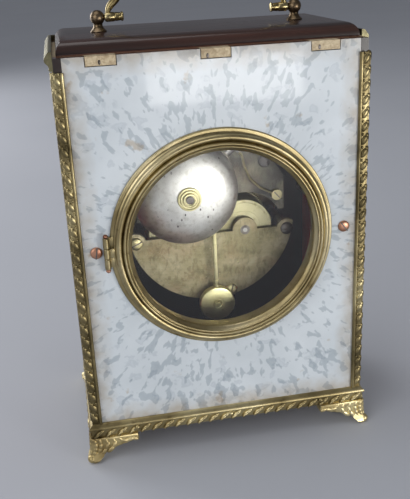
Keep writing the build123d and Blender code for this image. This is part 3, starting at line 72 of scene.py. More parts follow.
class Finish:
    """A material with one Principled shader and short calls for its patterns."""

    def __init__(self, name, metallic=0.0, roughness=0.5, coat=0.0, specular=0.5):
        self.material = bpy.data.materials.new(name)
        self.material.use_nodes = True
        self.tree = self.material.node_tree
        self.shader = self.tree.nodes["Principled BSDF"]
        self.shader.inputs["Metallic"].default_value = metallic
        self.shader.inputs["Roughness"].default_value = roughness
        self.shader.inputs["Coat Weight"].default_value = coat
        self.shader.inputs["Coat Roughness"].default_value = 0.06
        self.shader.inputs["Specular IOR Level"].default_value = specular
        self.place = self.tree.nodes.new("ShaderNodeTexCoord").outputs["Object"]

    def add(self, kind, **values):
        """A new node, with its inputs or its own settings given by name."""
        node = self.tree.nodes.new(kind)
        for key, value in values.items():
            if key in node.inputs:
                node.inputs[key].default_value = value
            else:
                setattr(node, key, value)
        return node

    def feed(self, node, socket, value):
        """Joins an output to a socket, or writes a constant on it."""
        if hasattr(value, "links"):
            self.tree.links.new(value, node.inputs[socket])
        else:
            node.inputs[socket].default_value = value

    def join(self, output, node, socket):
        self.tree.links.new(output, node.inputs[socket])

    def mapped(self, shift=(0, 0, 0), turn=(0, 0, 0), scale=(1, 1, 1)):
        node = self.add("ShaderNodeMapping", Location=shift, Rotation=turn, Scale=scale)
        self.join(self.place, node, "Vector")
        return node.outputs["Vector"]

    def noise(self, scale, detail=4.0, vector=None, distortion=0.0):
        node = self.add("ShaderNodeTexNoise", Scale=scale, Detail=detail, Distortion=distortion)
        self.join(vector or self.place, node, "Vector")
        return node.outputs["Fac"]

    def spots(self, scale, vector=None):
        node = self.add("ShaderNodeTexVoronoi", Scale=scale)
        self.join(vector or self.place, node, "Vector")
        return node.outputs["Distance"]

    def ramp(self, source, stops):
        node = self.add("ShaderNodeValToRGB")
        while len(node.color_ramp.elements) < len(stops):
            node.color_ramp.elements.new(0.5)
        for element, (position, color) in zip(node.color_ramp.elements, stops):
            element.position = position
            element.color = (*color, 1) if len(color) == 3 else (color[0],) * 3 + (1,)
        self.join(source, node, "Fac")
        return node.outputs["Color"]

    def blend(self, mode, amount, first, second):
        node = self.add("ShaderNodeMix", data_type="RGBA", blend_type=mode)
        self.feed(node, MIX_FACTOR, amount)
        for socket, value in ((MIX_FIRST, first), (MIX_SECOND, second)):
            self.feed(node, socket, value if hasattr(value, "links") else (*value, 1))
        return node.outputs[MIX_RESULT]

    def stain(self, base, amount, pattern, stops):
        """Multiplies a colour by a ramp over a pattern."""
        return self.blend("MULTIPLY", amount, base, self.ramp(pattern, stops))

    def compute(self, operation, *values):
        node = self.add("ShaderNodeMath", operation=operation)
        for socket, value in enumerate(values):
            self.feed(node, socket, value)
        return node.outputs[0]

    def axes(self, vector):
        """The X, Y and Z of a vector, by name."""
        node = self.add("ShaderNodeSeparateXYZ")
        self.join(vector, node, "Vector")
        return node.outputs

    def combine(self, x, y):
        node = self.add("ShaderNodeCombineXYZ")
        self.join(x, node, "X")
        self.join(y, node, "Y")
        return node.outputs["Vector"]

    def length(self, vector):
        node = self.add("ShaderNodeVectorMath", operation="LENGTH")
        self.join(vector, node, 0)
        return node.outputs["Value"]

    def step(self, source, low, high):
        """Rises from 0 at low to 1 at high."""
        node = self.add("ShaderNodeMapRange")
        node.inputs["From Min"].default_value = low
        node.inputs["From Max"].default_value = high
        self.join(source, node, "Value")
        return node.outputs["Result"]

    def range(self, source, low, high):
        node = self.add("ShaderNodeMapRange")
        node.inputs["To Min"].default_value = low
        node.inputs["To Max"].default_value = high
        self.join(source, node, "Value")
        return node.outputs["Result"]

    def color(self, output):
        self.join(output, self.shader, "Base Color")

    def roughness(self, output, low, high):
        self.join(self.range(output, low, high), self.shader, "Roughness")

    def bump(self, output, height, strength=1.0):
        node = self.add("ShaderNodeBump", Strength=strength, Distance=height)
        self.join(output, node, "Height")
        self.join(node.outputs["Normal"], self.shader, "Normal")


print("finish helper ready")

# %% [markdown]
# Old gilt brass is never one colour: it runs from pale gold on worn ridges to olive brown in the hollows.
# The Geometry node's pointiness finds ridges and hollows of the mesh, and noise breaks up the rest.

# %% Brass finishes


def brass_finish(name, pale, warm, dark, rough=(0.22, 0.5), grain=900.0, wear=True):
    finish = Finish(name, metallic=1.0)
    cloud = finish.noise(38.0, 6.0)
    fine = finish.noise(grain, 3.0)
    base = finish.ramp(cloud, [(0.32, dark), (0.5, warm), (0.68, pale)])
    if wear:
        edge = finish.add("ShaderNodeNewGeometry").outputs["Pointiness"]
        base = finish.stain(base, 0.85, edge,
                            [(0.44, (0.22, 0.17, 0.09)), (0.5, (0.8, 0.78, 0.7)), (0.56, WHITE)])
    finish.color(finish.stain(base, 0.6, finish.noise(260.0, 5.0), [(0.3, (0.55, 0.5, 0.42)), (0.42, WHITE)]))
    finish.roughness(finish.blend("MIX", 0.5, finish.ramp(cloud, [(0.2, (0.0,)), (0.8, (1.0,))]),
                                  finish.ramp(fine, [(0.3, (0.0,)), (0.7, (1.0,))])), rough[1], rough[0])
    finish.bump(fine, 0.00006, 0.5)
    return finish.material


gilt = brass_finish("aged_gilt_brass", (0.66, 0.57, 0.33), (0.42, 0.34, 0.17), (0.18, 0.14, 0.065),
                    rough=(0.28, 0.5))
bezel_brass = brass_finish("bezel_brass", (0.56, 0.48, 0.29), (0.40, 0.33, 0.175), (0.22, 0.17, 0.08),
                           rough=(0.26, 0.48), wear=False)
bright_brass = brass_finish("bright_barrel_brass", (0.74, 0.68, 0.43), (0.63, 0.57, 0.32),
                            (0.40, 0.34, 0.17), rough=(0.34, 0.54), wear=False)
handle_brass = brass_finish("handle_brass", (0.66, 0.56, 0.32), (0.42, 0.34, 0.17), (0.17, 0.13, 0.06),
                            rough=(0.2, 0.4))
post_bronze = brass_finish("dark_post_bronze", (0.27, 0.20, 0.13), (0.16, 0.115, 0.07), (0.07, 0.05, 0.035),
                           rough=(0.28, 0.46))
trim_brass = brass_finish("stamped_trim_brass", (0.50, 0.43, 0.24), (0.31, 0.25, 0.125), (0.12, 0.095, 0.045),
                          rough=(0.3, 0.52))
lid_brass = brass_finish("turned_lid_brass", (0.58, 0.54, 0.35), (0.48, 0.44, 0.26), (0.31, 0.27, 0.14),
                         rough=(0.38, 0.56), wear=False)
bob_brass = brass_finish("bob_brass", (0.86, 0.82, 0.50), (0.76, 0.71, 0.40), (0.52, 0.47, 0.24),
                         rough=(0.34, 0.5), wear=False)
# The feet take a paler copy of the gilt: painted light, for the brightness the lamps give them.
foot_brass = brass_finish("painted_light_foot_brass", (0.88, 0.78, 0.48), (0.68, 0.56, 0.29), (0.32, 0.24, 0.11),
                          rough=(0.36, 0.56))
cornice_brass = brass_finish("olive_cornice_brass", (0.27, 0.25, 0.15), (0.16, 0.145, 0.085),
                             (0.075, 0.068, 0.04))
print("brass finishes", len(bpy.data.materials))

# %% [markdown]
# The movement's plates are duller: olive brass with cloudy grey and faint pink patches, wiped in broad
# strokes. A stretched noise gives the wiping marks, and small dark pits give its age.

# %% Plate brass, bell metal and steel


def plate_finish(name, shades):
    finish = Finish(name, metallic=0.7)
    base = finish.ramp(finish.noise(70.0, 9.0, distortion=0.8), list(zip((0.32, 0.46, 0.56, 0.7), shades)))
    pink = finish.noise(70.0, 3.0, finish.mapped(shift=(0.3, 0.1, 0.2)))
    base = finish.stain(base, 0.8, pink, [(0.5, WHITE), (0.7, (0.92, 0.78, 0.74))])
    strokes = finish.noise(160.0, 4.0, finish.mapped(turn=(0, 0.5, 0), scale=(1, 1, 5)))
    base = finish.stain(base, 0.4, strokes, [(0.3, (0.6, 0.58, 0.5)), (0.6, WHITE)])
    mottle = finish.noise(520.0, 8.0, finish.mapped(turn=(0, 0.9, 0), scale=(1, 1, 0.5)), 0.6)
    base = finish.stain(base, 0.6, mottle, [(0.34, (0.50, 0.48, 0.42)), (0.52, WHITE)])
    finish.color(finish.stain(base, 0.7, finish.spots(420.0), [(0.02, (0.2, 0.16, 0.1)), (0.09, WHITE)]))
    finish.roughness(strokes, 0.34, 0.6)
    finish.bump(strokes, 0.00008, 0.5)
    return finish.material


def bell_finish():
    """Silvery metal, tarnished towards the bell's lower left as seen from the back."""
    finish = Finish("silvered_bell_metal", metallic=0.9)
    cloud = finish.noise(60.0, 5.0)
    base = finish.ramp(cloud, [(0.3, (0.50, 0.48, 0.45)), (0.55, (0.70, 0.69, 0.66)),
                               (0.75, (0.80, 0.79, 0.77))])
    from_middle = finish.axes(finish.mapped(shift=-Vector(BELL) * MM))
    sideways = finish.compute("MULTIPLY_ADD", from_middle["X"], 17.0, -0.22)
    downwards = finish.compute("MULTIPLY_ADD", from_middle["Z"], -20.0, sideways)
    tarnish = finish.compute("MULTIPLY", downwards, finish.noise(90.0, 6.0))
    base = finish.stain(base, 0.9, tarnish, [(0.05, WHITE), (0.14, (0.76, 0.66, 0.62)),
                                             (0.28, (0.34, 0.25, 0.26))])
    base = finish.stain(base, 0.7, finish.noise(420.0, 7.0), [(0.3, (0.66, 0.64, 0.60)), (0.5, WHITE)])
    specks = finish.ramp(finish.spots(300.0, finish.mapped(turn=(0, 0.6, 0), scale=(1, 1, 0.6))),
                         [(0.08, (0.10, 0.08, 0.08)), (0.16, WHITE)])
    patches = finish.ramp(finish.noise(70.0, 3.0), [(0.5, WHITE), (0.56, (0, 0, 0))])
    specks = finish.blend("LIGHTEN", 1.0, specks, patches)
    finish.color(finish.blend("MULTIPLY", 1.0, base, specks))
    finish.roughness(cloud, 0.34, 0.5)
    finish.bump(finish.noise(700.0, 5.0), 0.00006, 0.5)
    return finish.material


def steel_finish(name, pale, dark, rough):
    finish = Finish(name, metallic=1.0)
    lines = finish.noise(500.0, 4.0, finish.mapped(scale=(1, 0.15, 1)))
    cloud = finish.noise(60.0, 5.0)
    base = finish.ramp(cloud, [(0.35, dark), (0.65, pale)])
    rust = finish.noise(240.0, 5.0)
    finish.color(finish.stain(base, 0.5, rust, [(0.34, (0.45, 0.25, 0.15)), (0.44, WHITE)]))
    finish.roughness(lines, rough, rough + 0.2)
    finish.bump(lines, 0.00003, 0.5)
    return finish.material


plate_brass = plate_finish("plate_brass", ((0.21, 0.18, 0.095), (0.30, 0.26, 0.145), (0.36, 0.31, 0.19),
                                           (0.46, 0.40, 0.27)))
# The upper bridge takes a much darker copy of the plate brass: partly its own dull grey tone, partly painted
# shade for the dark inside of the case.
bridge_brass = plate_finish("painted_shade_bridge_brass", ((0.045, 0.042, 0.036), (0.11, 0.10, 0.08),
                                                  (0.17, 0.155, 0.12), (0.30, 0.27, 0.20)))
bell_metal = bell_finish()
steel = steel_finish("polished_steel", (0.46, 0.44, 0.41), (0.24, 0.22, 0.20), 0.28)
blued = steel_finish("blued_steel", (0.05, 0.08, 0.26), (0.02, 0.03, 0.09), 0.15)
copper = steel_finish("coppered_screw", (0.62, 0.33, 0.22), (0.34, 0.17, 0.11), 0.3)
dark_steel = steel_finish("dark_steel", (0.20, 0.18, 0.17), (0.08, 0.07, 0.06), 0.3)


def hammer_finish():
    """Brass collet and wire with a steel head, told apart by their distance from the head's middle."""
    finish = Finish("hammer_brass_and_steel", metallic=1.0)
    reach = finish.length(finish.mapped(shift=-Vector(HAMMER_HEAD) * MM))
    cloud = finish.noise(160.0, 6.0)
    grey = finish.ramp(cloud, [(0.35, (0.16, 0.15, 0.14)), (0.65, (0.40, 0.38, 0.36))])
    yellow = finish.ramp(cloud, [(0.35, (0.30, 0.25, 0.13)), (0.65, (0.58, 0.51, 0.30))])
    finish.color(finish.blend("MIX", finish.step(reach, 0.0050, 0.0060), grey, yellow))
    finish.roughness(cloud, 0.28, 0.48)
    finish.bump(finish.noise(800.0, 3.0), 0.00004, 0.4)
    return finish.material


hammer_metal = hammer_finish()
print("metal finishes", len(bpy.data.materials))

# %% [markdown]
# The back of the case is a pale glossy sheet with grey streaks that fan out from the round door, and brown
# dirt along its edges. The streaks use polar coordinates around the door: the angle is stretched against
# the radius before it goes into the noise, so each spot becomes a radial dash.

# %% The mottled back sheet
SHEET_MIDDLE = 118.7
SHEET_HALVES = {"X": 71.1, "Z": 96.2}
DIRT_REACH = 14.0
DASHES_AROUND = 0.062
DASHES_OUTWARD = 0.40


def back_sheet_finish():
    finish = Finish("mottled_back_sheet", roughness=0.2, coat=0.3, specular=0.3)
    from_door = finish.axes(finish.mapped(shift=(0, 0, -DOOR_HEIGHT * MM)))
    angle = finish.compute("ARCTAN2", from_door["Z"], from_door["X"])
    radius = finish.length(finish.combine(from_door["X"], from_door["Z"]))
    polar = finish.combine(finish.compute("MULTIPLY", angle, DASHES_AROUND),
                           finish.compute("MULTIPLY", radius, DASHES_OUTWARD))
    crowd = finish.range(finish.noise(26.0, 2.0), -0.16, 0.16)
    dashes = finish.compute("ADD", finish.noise(300.0, 2.0, polar, 0.3), crowd)
    blots = finish.noise(150.0, 3.0, distortion=0.4)
    base = finish.ramp(finish.noise(40.0, 4.0), [(0.3, (0.51, 0.555, 0.59)), (0.7, (0.59, 0.635, 0.67))])
    base = finish.stain(base, 1.0, dashes, [(0.56, WHITE), (0.59, (0.74, 0.765, 0.785)),
                                            (0.8, (0.67, 0.695, 0.72))])
    base = finish.stain(base, 0.8, blots, [(0.58, WHITE), (0.62, (0.84, 0.855, 0.875))])
    from_middle = finish.axes(finish.mapped(shift=(0, 0, -SHEET_MIDDLE * MM)))
    near_edge = []
    for axis, half in SHEET_HALVES.items():
        far = finish.compute("ABSOLUTE", from_middle[axis])
        near_edge.append(finish.step(far, (half - DIRT_REACH) * MM, half * MM))
    dirt = finish.compute("MULTIPLY", finish.compute("MAXIMUM", *near_edge), finish.noise(120.0, 6.0))
    base = finish.stain(base, 1.0, dirt, [(0.12, WHITE), (0.55, (0.76, 0.66, 0.56))])
    rust = finish.noise(75.0, 5.0, finish.mapped(shift=(0.7, 0.2, 0.1)))
    finish.color(finish.stain(base, 0.9, rust, [(0.66, WHITE), (0.71, (0.78, 0.66, 0.54))]))
    finish.roughness(blots, 0.18, 0.32)
    finish.bump(finish.noise(60.0, 2.0), 0.0002, 0.25)
    return finish.material


back_sheet = back_sheet_finish()
print("back sheet finish", len(back_sheet.node_tree.nodes), "nodes")

# %% [markdown]
# Woods differ by grain and polish. One recipe serves all: a noise stretched along the grain for the
# fibres, a wider one for the colour, and a clear coat where the wood is french polished. A board can be
# painted nearly black towards the back from a depth, as painted shade, and the roof's foot has a thin red
# bead.

# %% Wood, cloth, enamel and glass


def wood_finish(name, pale, dark, along="Z", coat=0.0, rough=(0.35, 0.6), fine=220.0, painted_shade_from=None,
                bead_below=None):
    """Wood with its grain along an axis. Painted_shade_from is a Y in mm from which the wood towards the back
    is painted dark as shade; bead_below is a height in mm.
    """
    finish = Finish(name, coat=coat)
    squeeze = {"X": (0.06, 1, 1), "Y": (1, 0.06, 1), "Z": (1, 1, 0.06)}[along]
    grain = finish.noise(fine, 6.0, finish.mapped(scale=squeeze), 0.8)
    wide = finish.noise(30.0, 3.0, finish.mapped(scale=squeeze))
    base = finish.ramp(grain, [(0.3, dark), (0.7, pale)])
    base = finish.stain(base, 0.9, wide, [(0.3, (0.7, 0.66, 0.62)), (0.7, WHITE)])
    if painted_shade_from is not None:
        # Painted shade: from this depth towards the back the wood is darkened nearly to black.
        behind = finish.step(finish.axes(finish.place)["Y"], (painted_shade_from - 1.0) * MM, (painted_shade_from + 1.0) * MM)
        base = finish.stain(base, 1.0, behind, [(0.0, WHITE), (1.0, (0.08, 0.07, 0.07))])
    if bead_below is not None:
        above = finish.step(finish.axes(finish.place)["Z"], (bead_below - 0.2) * MM, (bead_below + 0.2) * MM)
        base = finish.blend("MIX", above, (0.15, 0.065, 0.045), base)
    finish.color(base)
    finish.roughness(grain, rough[1], rough[0])
    finish.bump(grain, 0.0001, 0.35)
    return finish.material


def cloth_finish():
    finish = Finish("red_lining", roughness=0.9, specular=0.2)
    weave = finish.spots(1400.0)
    cloud = finish.noise(50.0, 4.0)
    base = finish.ramp(cloud, [(0.3, (0.30, 0.012, 0.01)), (0.7, (0.50, 0.03, 0.02))])
    finish.color(finish.stain(base, 0.5, weave, [(0.1, (0.5, 0.5, 0.5)), (0.5, WHITE)]))
    finish.bump(weave, 0.00015, 0.6)
    return finish.material


def enamel_finish():
    finish = Finish("white_enamel", roughness=0.12, coat=0.5)
    base = finish.ramp(finish.noise(25.0, 4.0), [(0.3, (0.80, 0.78, 0.71)), (0.7, (0.88, 0.87, 0.82))])
    hair = finish.noise(130.0, 8.0, distortion=2.0)
    finish.color(finish.stain(base, 0.6, hair, [(0.495, WHITE), (0.5, (0.84, 0.80, 0.72)), (0.505, WHITE)]))
    finish.bump(finish.noise(40.0, 2.0), 0.0002, 0.2)
    return finish.material


def glass_finish():
    finish = Finish("clear_pane", roughness=0.0)
    finish.shader.inputs["Base Color"].default_value = (0.97, 0.985, 0.98, 1)
    finish.shader.inputs["Transmission Weight"].default_value = 1.0
    finish.shader.inputs["IOR"].default_value = 1.45
    finish.shader.inputs["Specular IOR Level"].default_value = 0.1
    finish.roughness(finish.noise(30.0, 4.0), 0.0, 0.04)
    open_way = finish.add("ShaderNodeBsdfTransparent")
    path = finish.add("ShaderNodeLightPath")
    mix = finish.add("ShaderNodeMixShader")
    finish.join(path.outputs["Is Shadow Ray"], mix, 0)
    finish.join(finish.shader.outputs[0], mix, 1)
    finish.join(open_way.outputs[0], mix, 2)
    finish.join(mix.outputs[0], finish.tree.nodes["Material Output"], "Surface")
    return finish.material


def ink_finish():
    finish = Finish("black_dial_ink", roughness=0.35)
    finish.color(finish.ramp(finish.noise(400.0, 4.0),
                             [(0.3, (0.012, 0.012, 0.014)), (0.7, (0.03, 0.03, 0.034))]))
    return finish.material


roof_wood = wood_finish("dark_polished_roof", (0.055, 0.024, 0.018), (0.020, 0.010, 0.008), "X", 0.3,
                        (0.22, 0.36), bead_below=215.6)
# Painted shade: the veneer is darkened from Y 40 to the back, and the front board from Y -40 inwards.
veneer = wood_finish("polished_veneer", (0.24, 0.105, 0.058), (0.10, 0.040, 0.024), "Z", 0.45, (0.22, 0.4),
                     painted_shade_from=40.0)
front_wood = wood_finish("front_board_veneer", (0.24, 0.105, 0.058), (0.10, 0.040, 0.024), "Z", 0.2,
                         (0.3, 0.45), painted_shade_from=-40.0)
oak = wood_finish("pale_oak", (0.64, 0.54, 0.36), (0.36, 0.27, 0.16), "Y", 0.0, (0.5, 0.7), 600.0)
carcass = wood_finish("brown_carcass_wood", (0.30, 0.19, 0.11), (0.15, 0.09, 0.05), "Z", 0.1, (0.4, 0.6))
lining = cloth_finish()
enamel = enamel_finish()
pane = glass_finish()
ink = ink_finish()
print("all finishes", len(bpy.data.materials))

# %% [markdown]
# Next come a few helpers that turn a bmesh into a finished piece. They merge doubles, point the normals
# outwards, shade smooth with sharp edges kept by angle, and hand the piece to its CAD body.

# %% Helpers that finish a piece
SHARP_ANGLE = 40.0


def finish_piece(name, mesh, material, body, angle=SHARP_ANGLE, replaces=()):
    """Turns a bmesh in row coordinates into an object that rides on a body."""
    bmesh.ops.remove_doubles(mesh, verts=mesh.verts, dist=1e-6)
    bmesh.ops.recalc_face_normals(mesh, faces=mesh.faces)
    data = bpy.data.meshes.new(name)
    mesh.to_mesh(data)
    mesh.free()
    data.materials.append(material)
    data.shade_smooth()
    data.set_sharp_from_angle(angle=math.radians(angle))
    piece = bpy.data.objects.new(name, data)
    bpy.context.scene.collection.objects.link(piece)
    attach(piece, body)
    if replaces:
        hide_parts(*replaces)
    return piece


def merge_in(target, source):
    """Adds one bmesh to another."""
    data = bpy.data.meshes.new("part")
    source.to_mesh(data)
    source.free()
    target.from_mesh(data)
    bpy.data.meshes.remove(data)


def rotate_piece(mesh, degrees, axis):
    """Turns a bmesh about an axis through the origin."""
    bmesh.ops.rotate(mesh, cent=(0, 0, 0), matrix=Matrix.Rotation(math.radians(degrees), 3, axis),
                     verts=mesh.verts)


def move_piece(mesh, distance):
    """Moves a bmesh by a distance in mm."""
    bmesh.ops.translate(mesh, vec=Vector(distance) * MM, verts=mesh.verts)


def mirror_piece(mesh, signs):
    """Mirrors a bmesh along the axes whose sign is -1, and keeps its faces pointing outwards."""
    bmesh.ops.scale(mesh, vec=signs, verts=mesh.verts)
    if signs[0] * signs[1] * signs[2] < 0:
        bmesh.ops.reverse_faces(mesh, faces=mesh.faces)


def turned(profile, steps=96, place=(0, 0, 0), axis="Y"):
    """A lathe-turned shape: points as (radius, height) in mm, spun about Y or Z."""
    mesh = bmesh.new()
    verts = []
    for radius, height in profile:
        point = (radius * MM, height * MM, 0) if axis == "Y" else (radius * MM, 0, height * MM)
        verts.append(mesh.verts.new(point))
    edges = [mesh.edges.new(pair) for pair in zip(verts, verts[1:])]
    spin_axis = (0, 1, 0) if axis == "Y" else (0, 0, 1)
    bmesh.ops.spin(mesh, geom=verts + edges, cent=(0, 0, 0), axis=spin_axis, angle=2 * math.pi,
                   steps=steps, use_merge=True, use_duplicate=False)
    bmesh.ops.remove_doubles(mesh, verts=mesh.verts, dist=1e-7)
    bmesh.ops.recalc_face_normals(mesh, faces=mesh.faces)
    move_piece(mesh, place)
    return mesh


def beveled_box(low, high, width, segments=2):
    """A box between two corners in mm with rounded edges."""
    mesh = bmesh.new()
    bmesh.ops.create_cube(mesh, size=1.0)
    size = [b - a for a, b in zip(low, high)]
    bmesh.ops.scale(mesh, vec=Vector(size) * MM, verts=mesh.verts)
    move_piece(mesh, [(a + b) / 2 for a, b in zip(low, high)])
    bmesh.ops.bevel(mesh, geom=mesh.edges[:], offset=width * MM, segments=segments, profile=0.5,
                    affect="EDGES", material=-1)
    return mesh


def strip(section, start, end, mitres=(0, 0)):
    """Extrudes a section, given as points (outward, height) in mm, from start to end.
    Outward is the direction to the right of the run seen from above."""
    mesh = bmesh.new()
    start, end = Vector(start) * MM, Vector(end) * MM
    run = (end - start).normalized()
    out = run.cross(Vector((0, 0, 1)))
    verts = [mesh.verts.new(start + out * (a * MM) + Vector((0, 0, b * MM))) for a, b in section]
    face = mesh.faces.new(verts)
    grown = bmesh.ops.extrude_face_region(mesh, geom=[face])
    moved = [g for g in grown["geom"] if isinstance(g, bmesh.types.BMVert)]
    bmesh.ops.translate(mesh, verts=moved, vec=end - start)
    for vert in mesh.verts:
        at_end = (vert.co - start).dot(run) > (end - start).length / 2
        reach = (vert.co - start).dot(out)
        vert.co += run * (reach * mitres[1] if at_end else -reach * mitres[0])
    return mesh


print("piece helpers ready")

# %% [markdown]
# Most hidden solids already have the right shape, so they keep their CAD mesh and only take a finish.
# The list below gives every node its finish; nodes that are rebuilt later are hidden by the new piece.

# %% Finishes for the CAD nodes
node_finishes = {
    "base_board": carcass, "side_board_left": veneer, "side_board_right": veneer, "top_board": oak,
    "front_board": front_wood, "back_board": veneer, "back_panel": back_sheet, "roof": roof_wood,
    "case_lining": lining, "case_screws": copper, "base_moulding": gilt, "moulding_pins": gilt,
    "cornice": cornice_brass, "corner_trims": trim_brass, "feet": foot_brass, "handle_posts": post_bronze,
    "handle_bail": handle_brass, "rear_bezel_ring": bezel_brass, "rear_door_bezel": bezel_brass,
    "rear_door_glass": pane, "front_bezel_ring": bezel_brass, "front_door_bezel": bezel_brass,
    "front_door_glass": pane, "hinge_pins": gilt, "back_plate": plate_brass, "upper_bridge": bridge_brass,
    "front_plate": plate_brass, "pillars": plate_brass, "plate_screws": dark_steel,
    "going_barrel": lid_brass, "strike_barrel": lid_brass, "going_mainspring": blued,
    "strike_mainspring": blued, "going_arbor": steel, "strike_arbor": steel, "going_click": steel,
    "strike_click": steel, "second_wheel": bright_brass, "centre_wheel": bright_brass,
    "third_wheel": bright_brass, "escape_wheel": bright_brass, "anchor": steel,
    "suspension_cock": plate_brass, "suspension_spring": steel, "pendulum_rod": bright_brass,
    "pendulum_bob": bob_brass, "pin_wheel": bright_brass, "locking_wheel": bright_brass,
    "fly": bright_brass, "hammer": hammer_metal, "bell": bell_metal, "bell_post": dark_steel,
    "bell_nut": bright_brass, "dial": enamel, "cannon_pinion": steel, "minute_wheel": bright_brass,
    "hour_wheel": bright_brass, "hour_hand": blued, "minute_hand": blued, "hand_nut": bright_brass,
}
for node, material in node_finishes.items():
    data = nodes[node].data
    data.materials.clear()
    data.materials.append(material)
print("finished nodes", len(node_finishes), "of", len(nodes))

# %% [markdown]
# The roof is a board with a big ovolo round its top and a dark french polish. A cube whose top edges
# are beveled with many segments gives that moulding in two calls. A thin lip stays square below it.

# %% Roof
ROOF_LOW = (-73.2, -41.0, 215.1)
ROOF_HIGH = (73.2, 35.7, 222.0)
ROOF_LIP = 0.8
ROOF_OVOLO = 6.0


def roof_piece():
    mesh = bmesh.new()
    bmesh.ops.create_cube(mesh, size=1.0)
    low = Vector(ROOF_LOW) + Vector((0, 0, ROOF_LIP))
    size = Vector(ROOF_HIGH) - low
    bmesh.ops.scale(mesh, vec=size * MM, verts=mesh.verts)
    move_piece(mesh, low + size / 2)
    top = [e for e in mesh.edges if all(v.co.z > (ROOF_HIGH[2] - 0.1) * MM for v in e.verts)]
    bmesh.ops.bevel(mesh, geom=top, offset=ROOF_OVOLO * MM, segments=8, profile=0.5, affect="EDGES",
                    material=-1)
    lip_high = (ROOF_HIGH[0], ROOF_HIGH[1], ROOF_LOW[2] + ROOF_LIP + 0.05)
    merge_in(mesh, beveled_box(ROOF_LOW, lip_high, 0.25))
    return finish_piece("roof_moulded", mesh, roof_wood, "case", replaces=("roof",))


roof = roof_piece()
print("roof", len(roof.data.vertices), "vertices")

# %% [markdown]
# The door bezel is turned brass: a thin flange, a round torus, a bead, a finer bead and a hollow down to
# the glass. The real one is turned on a lathe, so the profile is spun here too.

# %% Door bezels and rings


def arc(centre, radius, start, end, count):
    """Points of an arc in degrees, as (radius, height)."""
    return [(centre[0] + radius * math.cos(math.radians(start + (end - start) * i / count)),
             centre[1] + radius * math.sin(math.radians(start + (end - start) * i / count)))
            for i in range(count + 1)]


def bezel_profile():
    base = BACK_FACE + 1.6
    points = [(48.4, base), (55.6, base), (55.6, base + 0.9), (54.9, base + 1.3)]
    points += arc((53.3, base + 2.3), 1.75, -20, 165, 14)
    points += [(51.35, base + 3.9), (51.2, base + 4.5)]
    points += arc((50.55, base + 4.7), 0.62, 0, 180, 8)
    points += [(49.75, base + 4.2), (49.5, base + 4.1)]
    points += arc((49.1, base + 4.3), 0.42, 20, 180, 6)
    points += [(48.2, base + 3.7), (47.5, base + 3.0), (46.95, base + 2.5), (46.8, base + 2.1),
               (46.8, base + 1.9), (48.4, base + 1.9), (48.4, base)]
    return points


def ring_profile(lip):
    points = [(48.6, 44.1), (48.9, 44.4), (56.6, 44.4)] + arc((56.9, 43.8), 0.6, 90, 0, 5)
    points += [(57.5, 43.0), (50.8, 43.0), (50.8, 36.0)]
    points += [(46.8, 36.0), (46.8, 37.0), (48.6, 37.0)] if lip else [(48.6, 36.0)]
    return points + [(48.6, 44.1)]


def flip_to_front(mesh):
    mirror_piece(mesh, (1, -1, 1))


def knuckles(mesh, fixed):
    """Hinge knuckles: the two outer ones on the ring, the middle one on the door."""
    spans = [(-8.2, -2.75), (2.75, 8.2)] if fixed else [(-2.6, 2.6)]
    for low, high in spans:
        barrel = [(0.86, low), (1.35, low), (1.55, low + 0.3), (1.55, high - 0.3), (1.35, high),
                  (0.86, high), (0.86, low)]
        merge_in(mesh, turned(barrel, 20, HINGE, "Z"))
        bottom, top = DOOR_HEIGHT + low + 0.2, DOOR_HEIGHT + high - 0.2
        if fixed:
            merge_in(mesh, beveled_box((54.6, 43.1, bottom), (58.4, 44.45, top), 0.2))
            merge_in(mesh, beveled_box((57.75, 43.1, bottom), (58.6, 45.4, top), 0.2))
        else:
            merge_in(mesh, beveled_box((54.9, 44.7, bottom), (58.0, 46.0, top), 0.2))


def round_frame(name, profile, node, body, front):
    mesh = turned(profile, 160, (0, 0, DOOR_HEIGHT))
    knuckles(mesh, fixed=body == "case")
    if front:
        flip_to_front(mesh)
    return finish_piece(name, mesh, bezel_brass, body, 32.0, (node,))


round_frames = [
    round_frame("rear_bezel_turned", bezel_profile(), "rear_door_bezel", "rear_door", front=False),
    round_frame("front_bezel_turned", bezel_profile(), "front_door_bezel", "front_door", front=True),
    round_frame("rear_ring_turned", ring_profile(lip=False), "rear_bezel_ring", "case", front=False),
    round_frame("front_ring_turned", ring_profile(lip=True), "front_bezel_ring", "case", front=True),
]


def hinge_pin_piece():
    mesh = bmesh.new()
    upper = [(0.75, 8.1), (0.8, 8.3), (1.3, 8.9), (1.3, 9.2), (0.75, 10.0), (0, 10.2)]
    for front in (False, True):
        pin = turned([(radius, -height) for radius, height in reversed(upper)] + upper, 20, HINGE, "Z")
        if front:
            flip_to_front(pin)
        merge_in(mesh, pin)
    return finish_piece("hinge_pins_turned", mesh, copper, "case", replaces=("hinge_pins",))


hinge_pins = hinge_pin_piece()
print("round frames", [len(piece.data.vertices) for piece in round_frames],
      "hinge pins", len(hinge_pins.data.vertices))

# %% [markdown]
# Each corner of the case wears a stamped brass angle: a plain bright fillet along each flange and a leafy
# rope on the corner, which repeats about every 6.5 mm. The rope is a row of slanted lobes. One lobe is made
# as a small sphere, stretched and tilted, then copied up the corner, and mirrored into the other corners.

# %% Corner trims
TRIM_LOW = 22.7
TRIM_HIGH = 208.7
TRIM_PITCH = 6.5
TRIM_ROD = 0.85


def lobe(size, tilt, place, axis="Y", rings=(10, 6)):
    """A stretched sphere of this size in mm, tilted in degrees about an axis, at a place in mm."""
    mesh = bmesh.new()
    bmesh.ops.create_uvsphere(mesh, u_segments=rings[0], v_segments=rings[1], radius=0.5)
    bmesh.ops.scale(mesh, vec=Vector(size) * MM, verts=mesh.verts)
    rotate_piece(mesh, tilt, axis)
    move_piece(mesh, place)
    return mesh


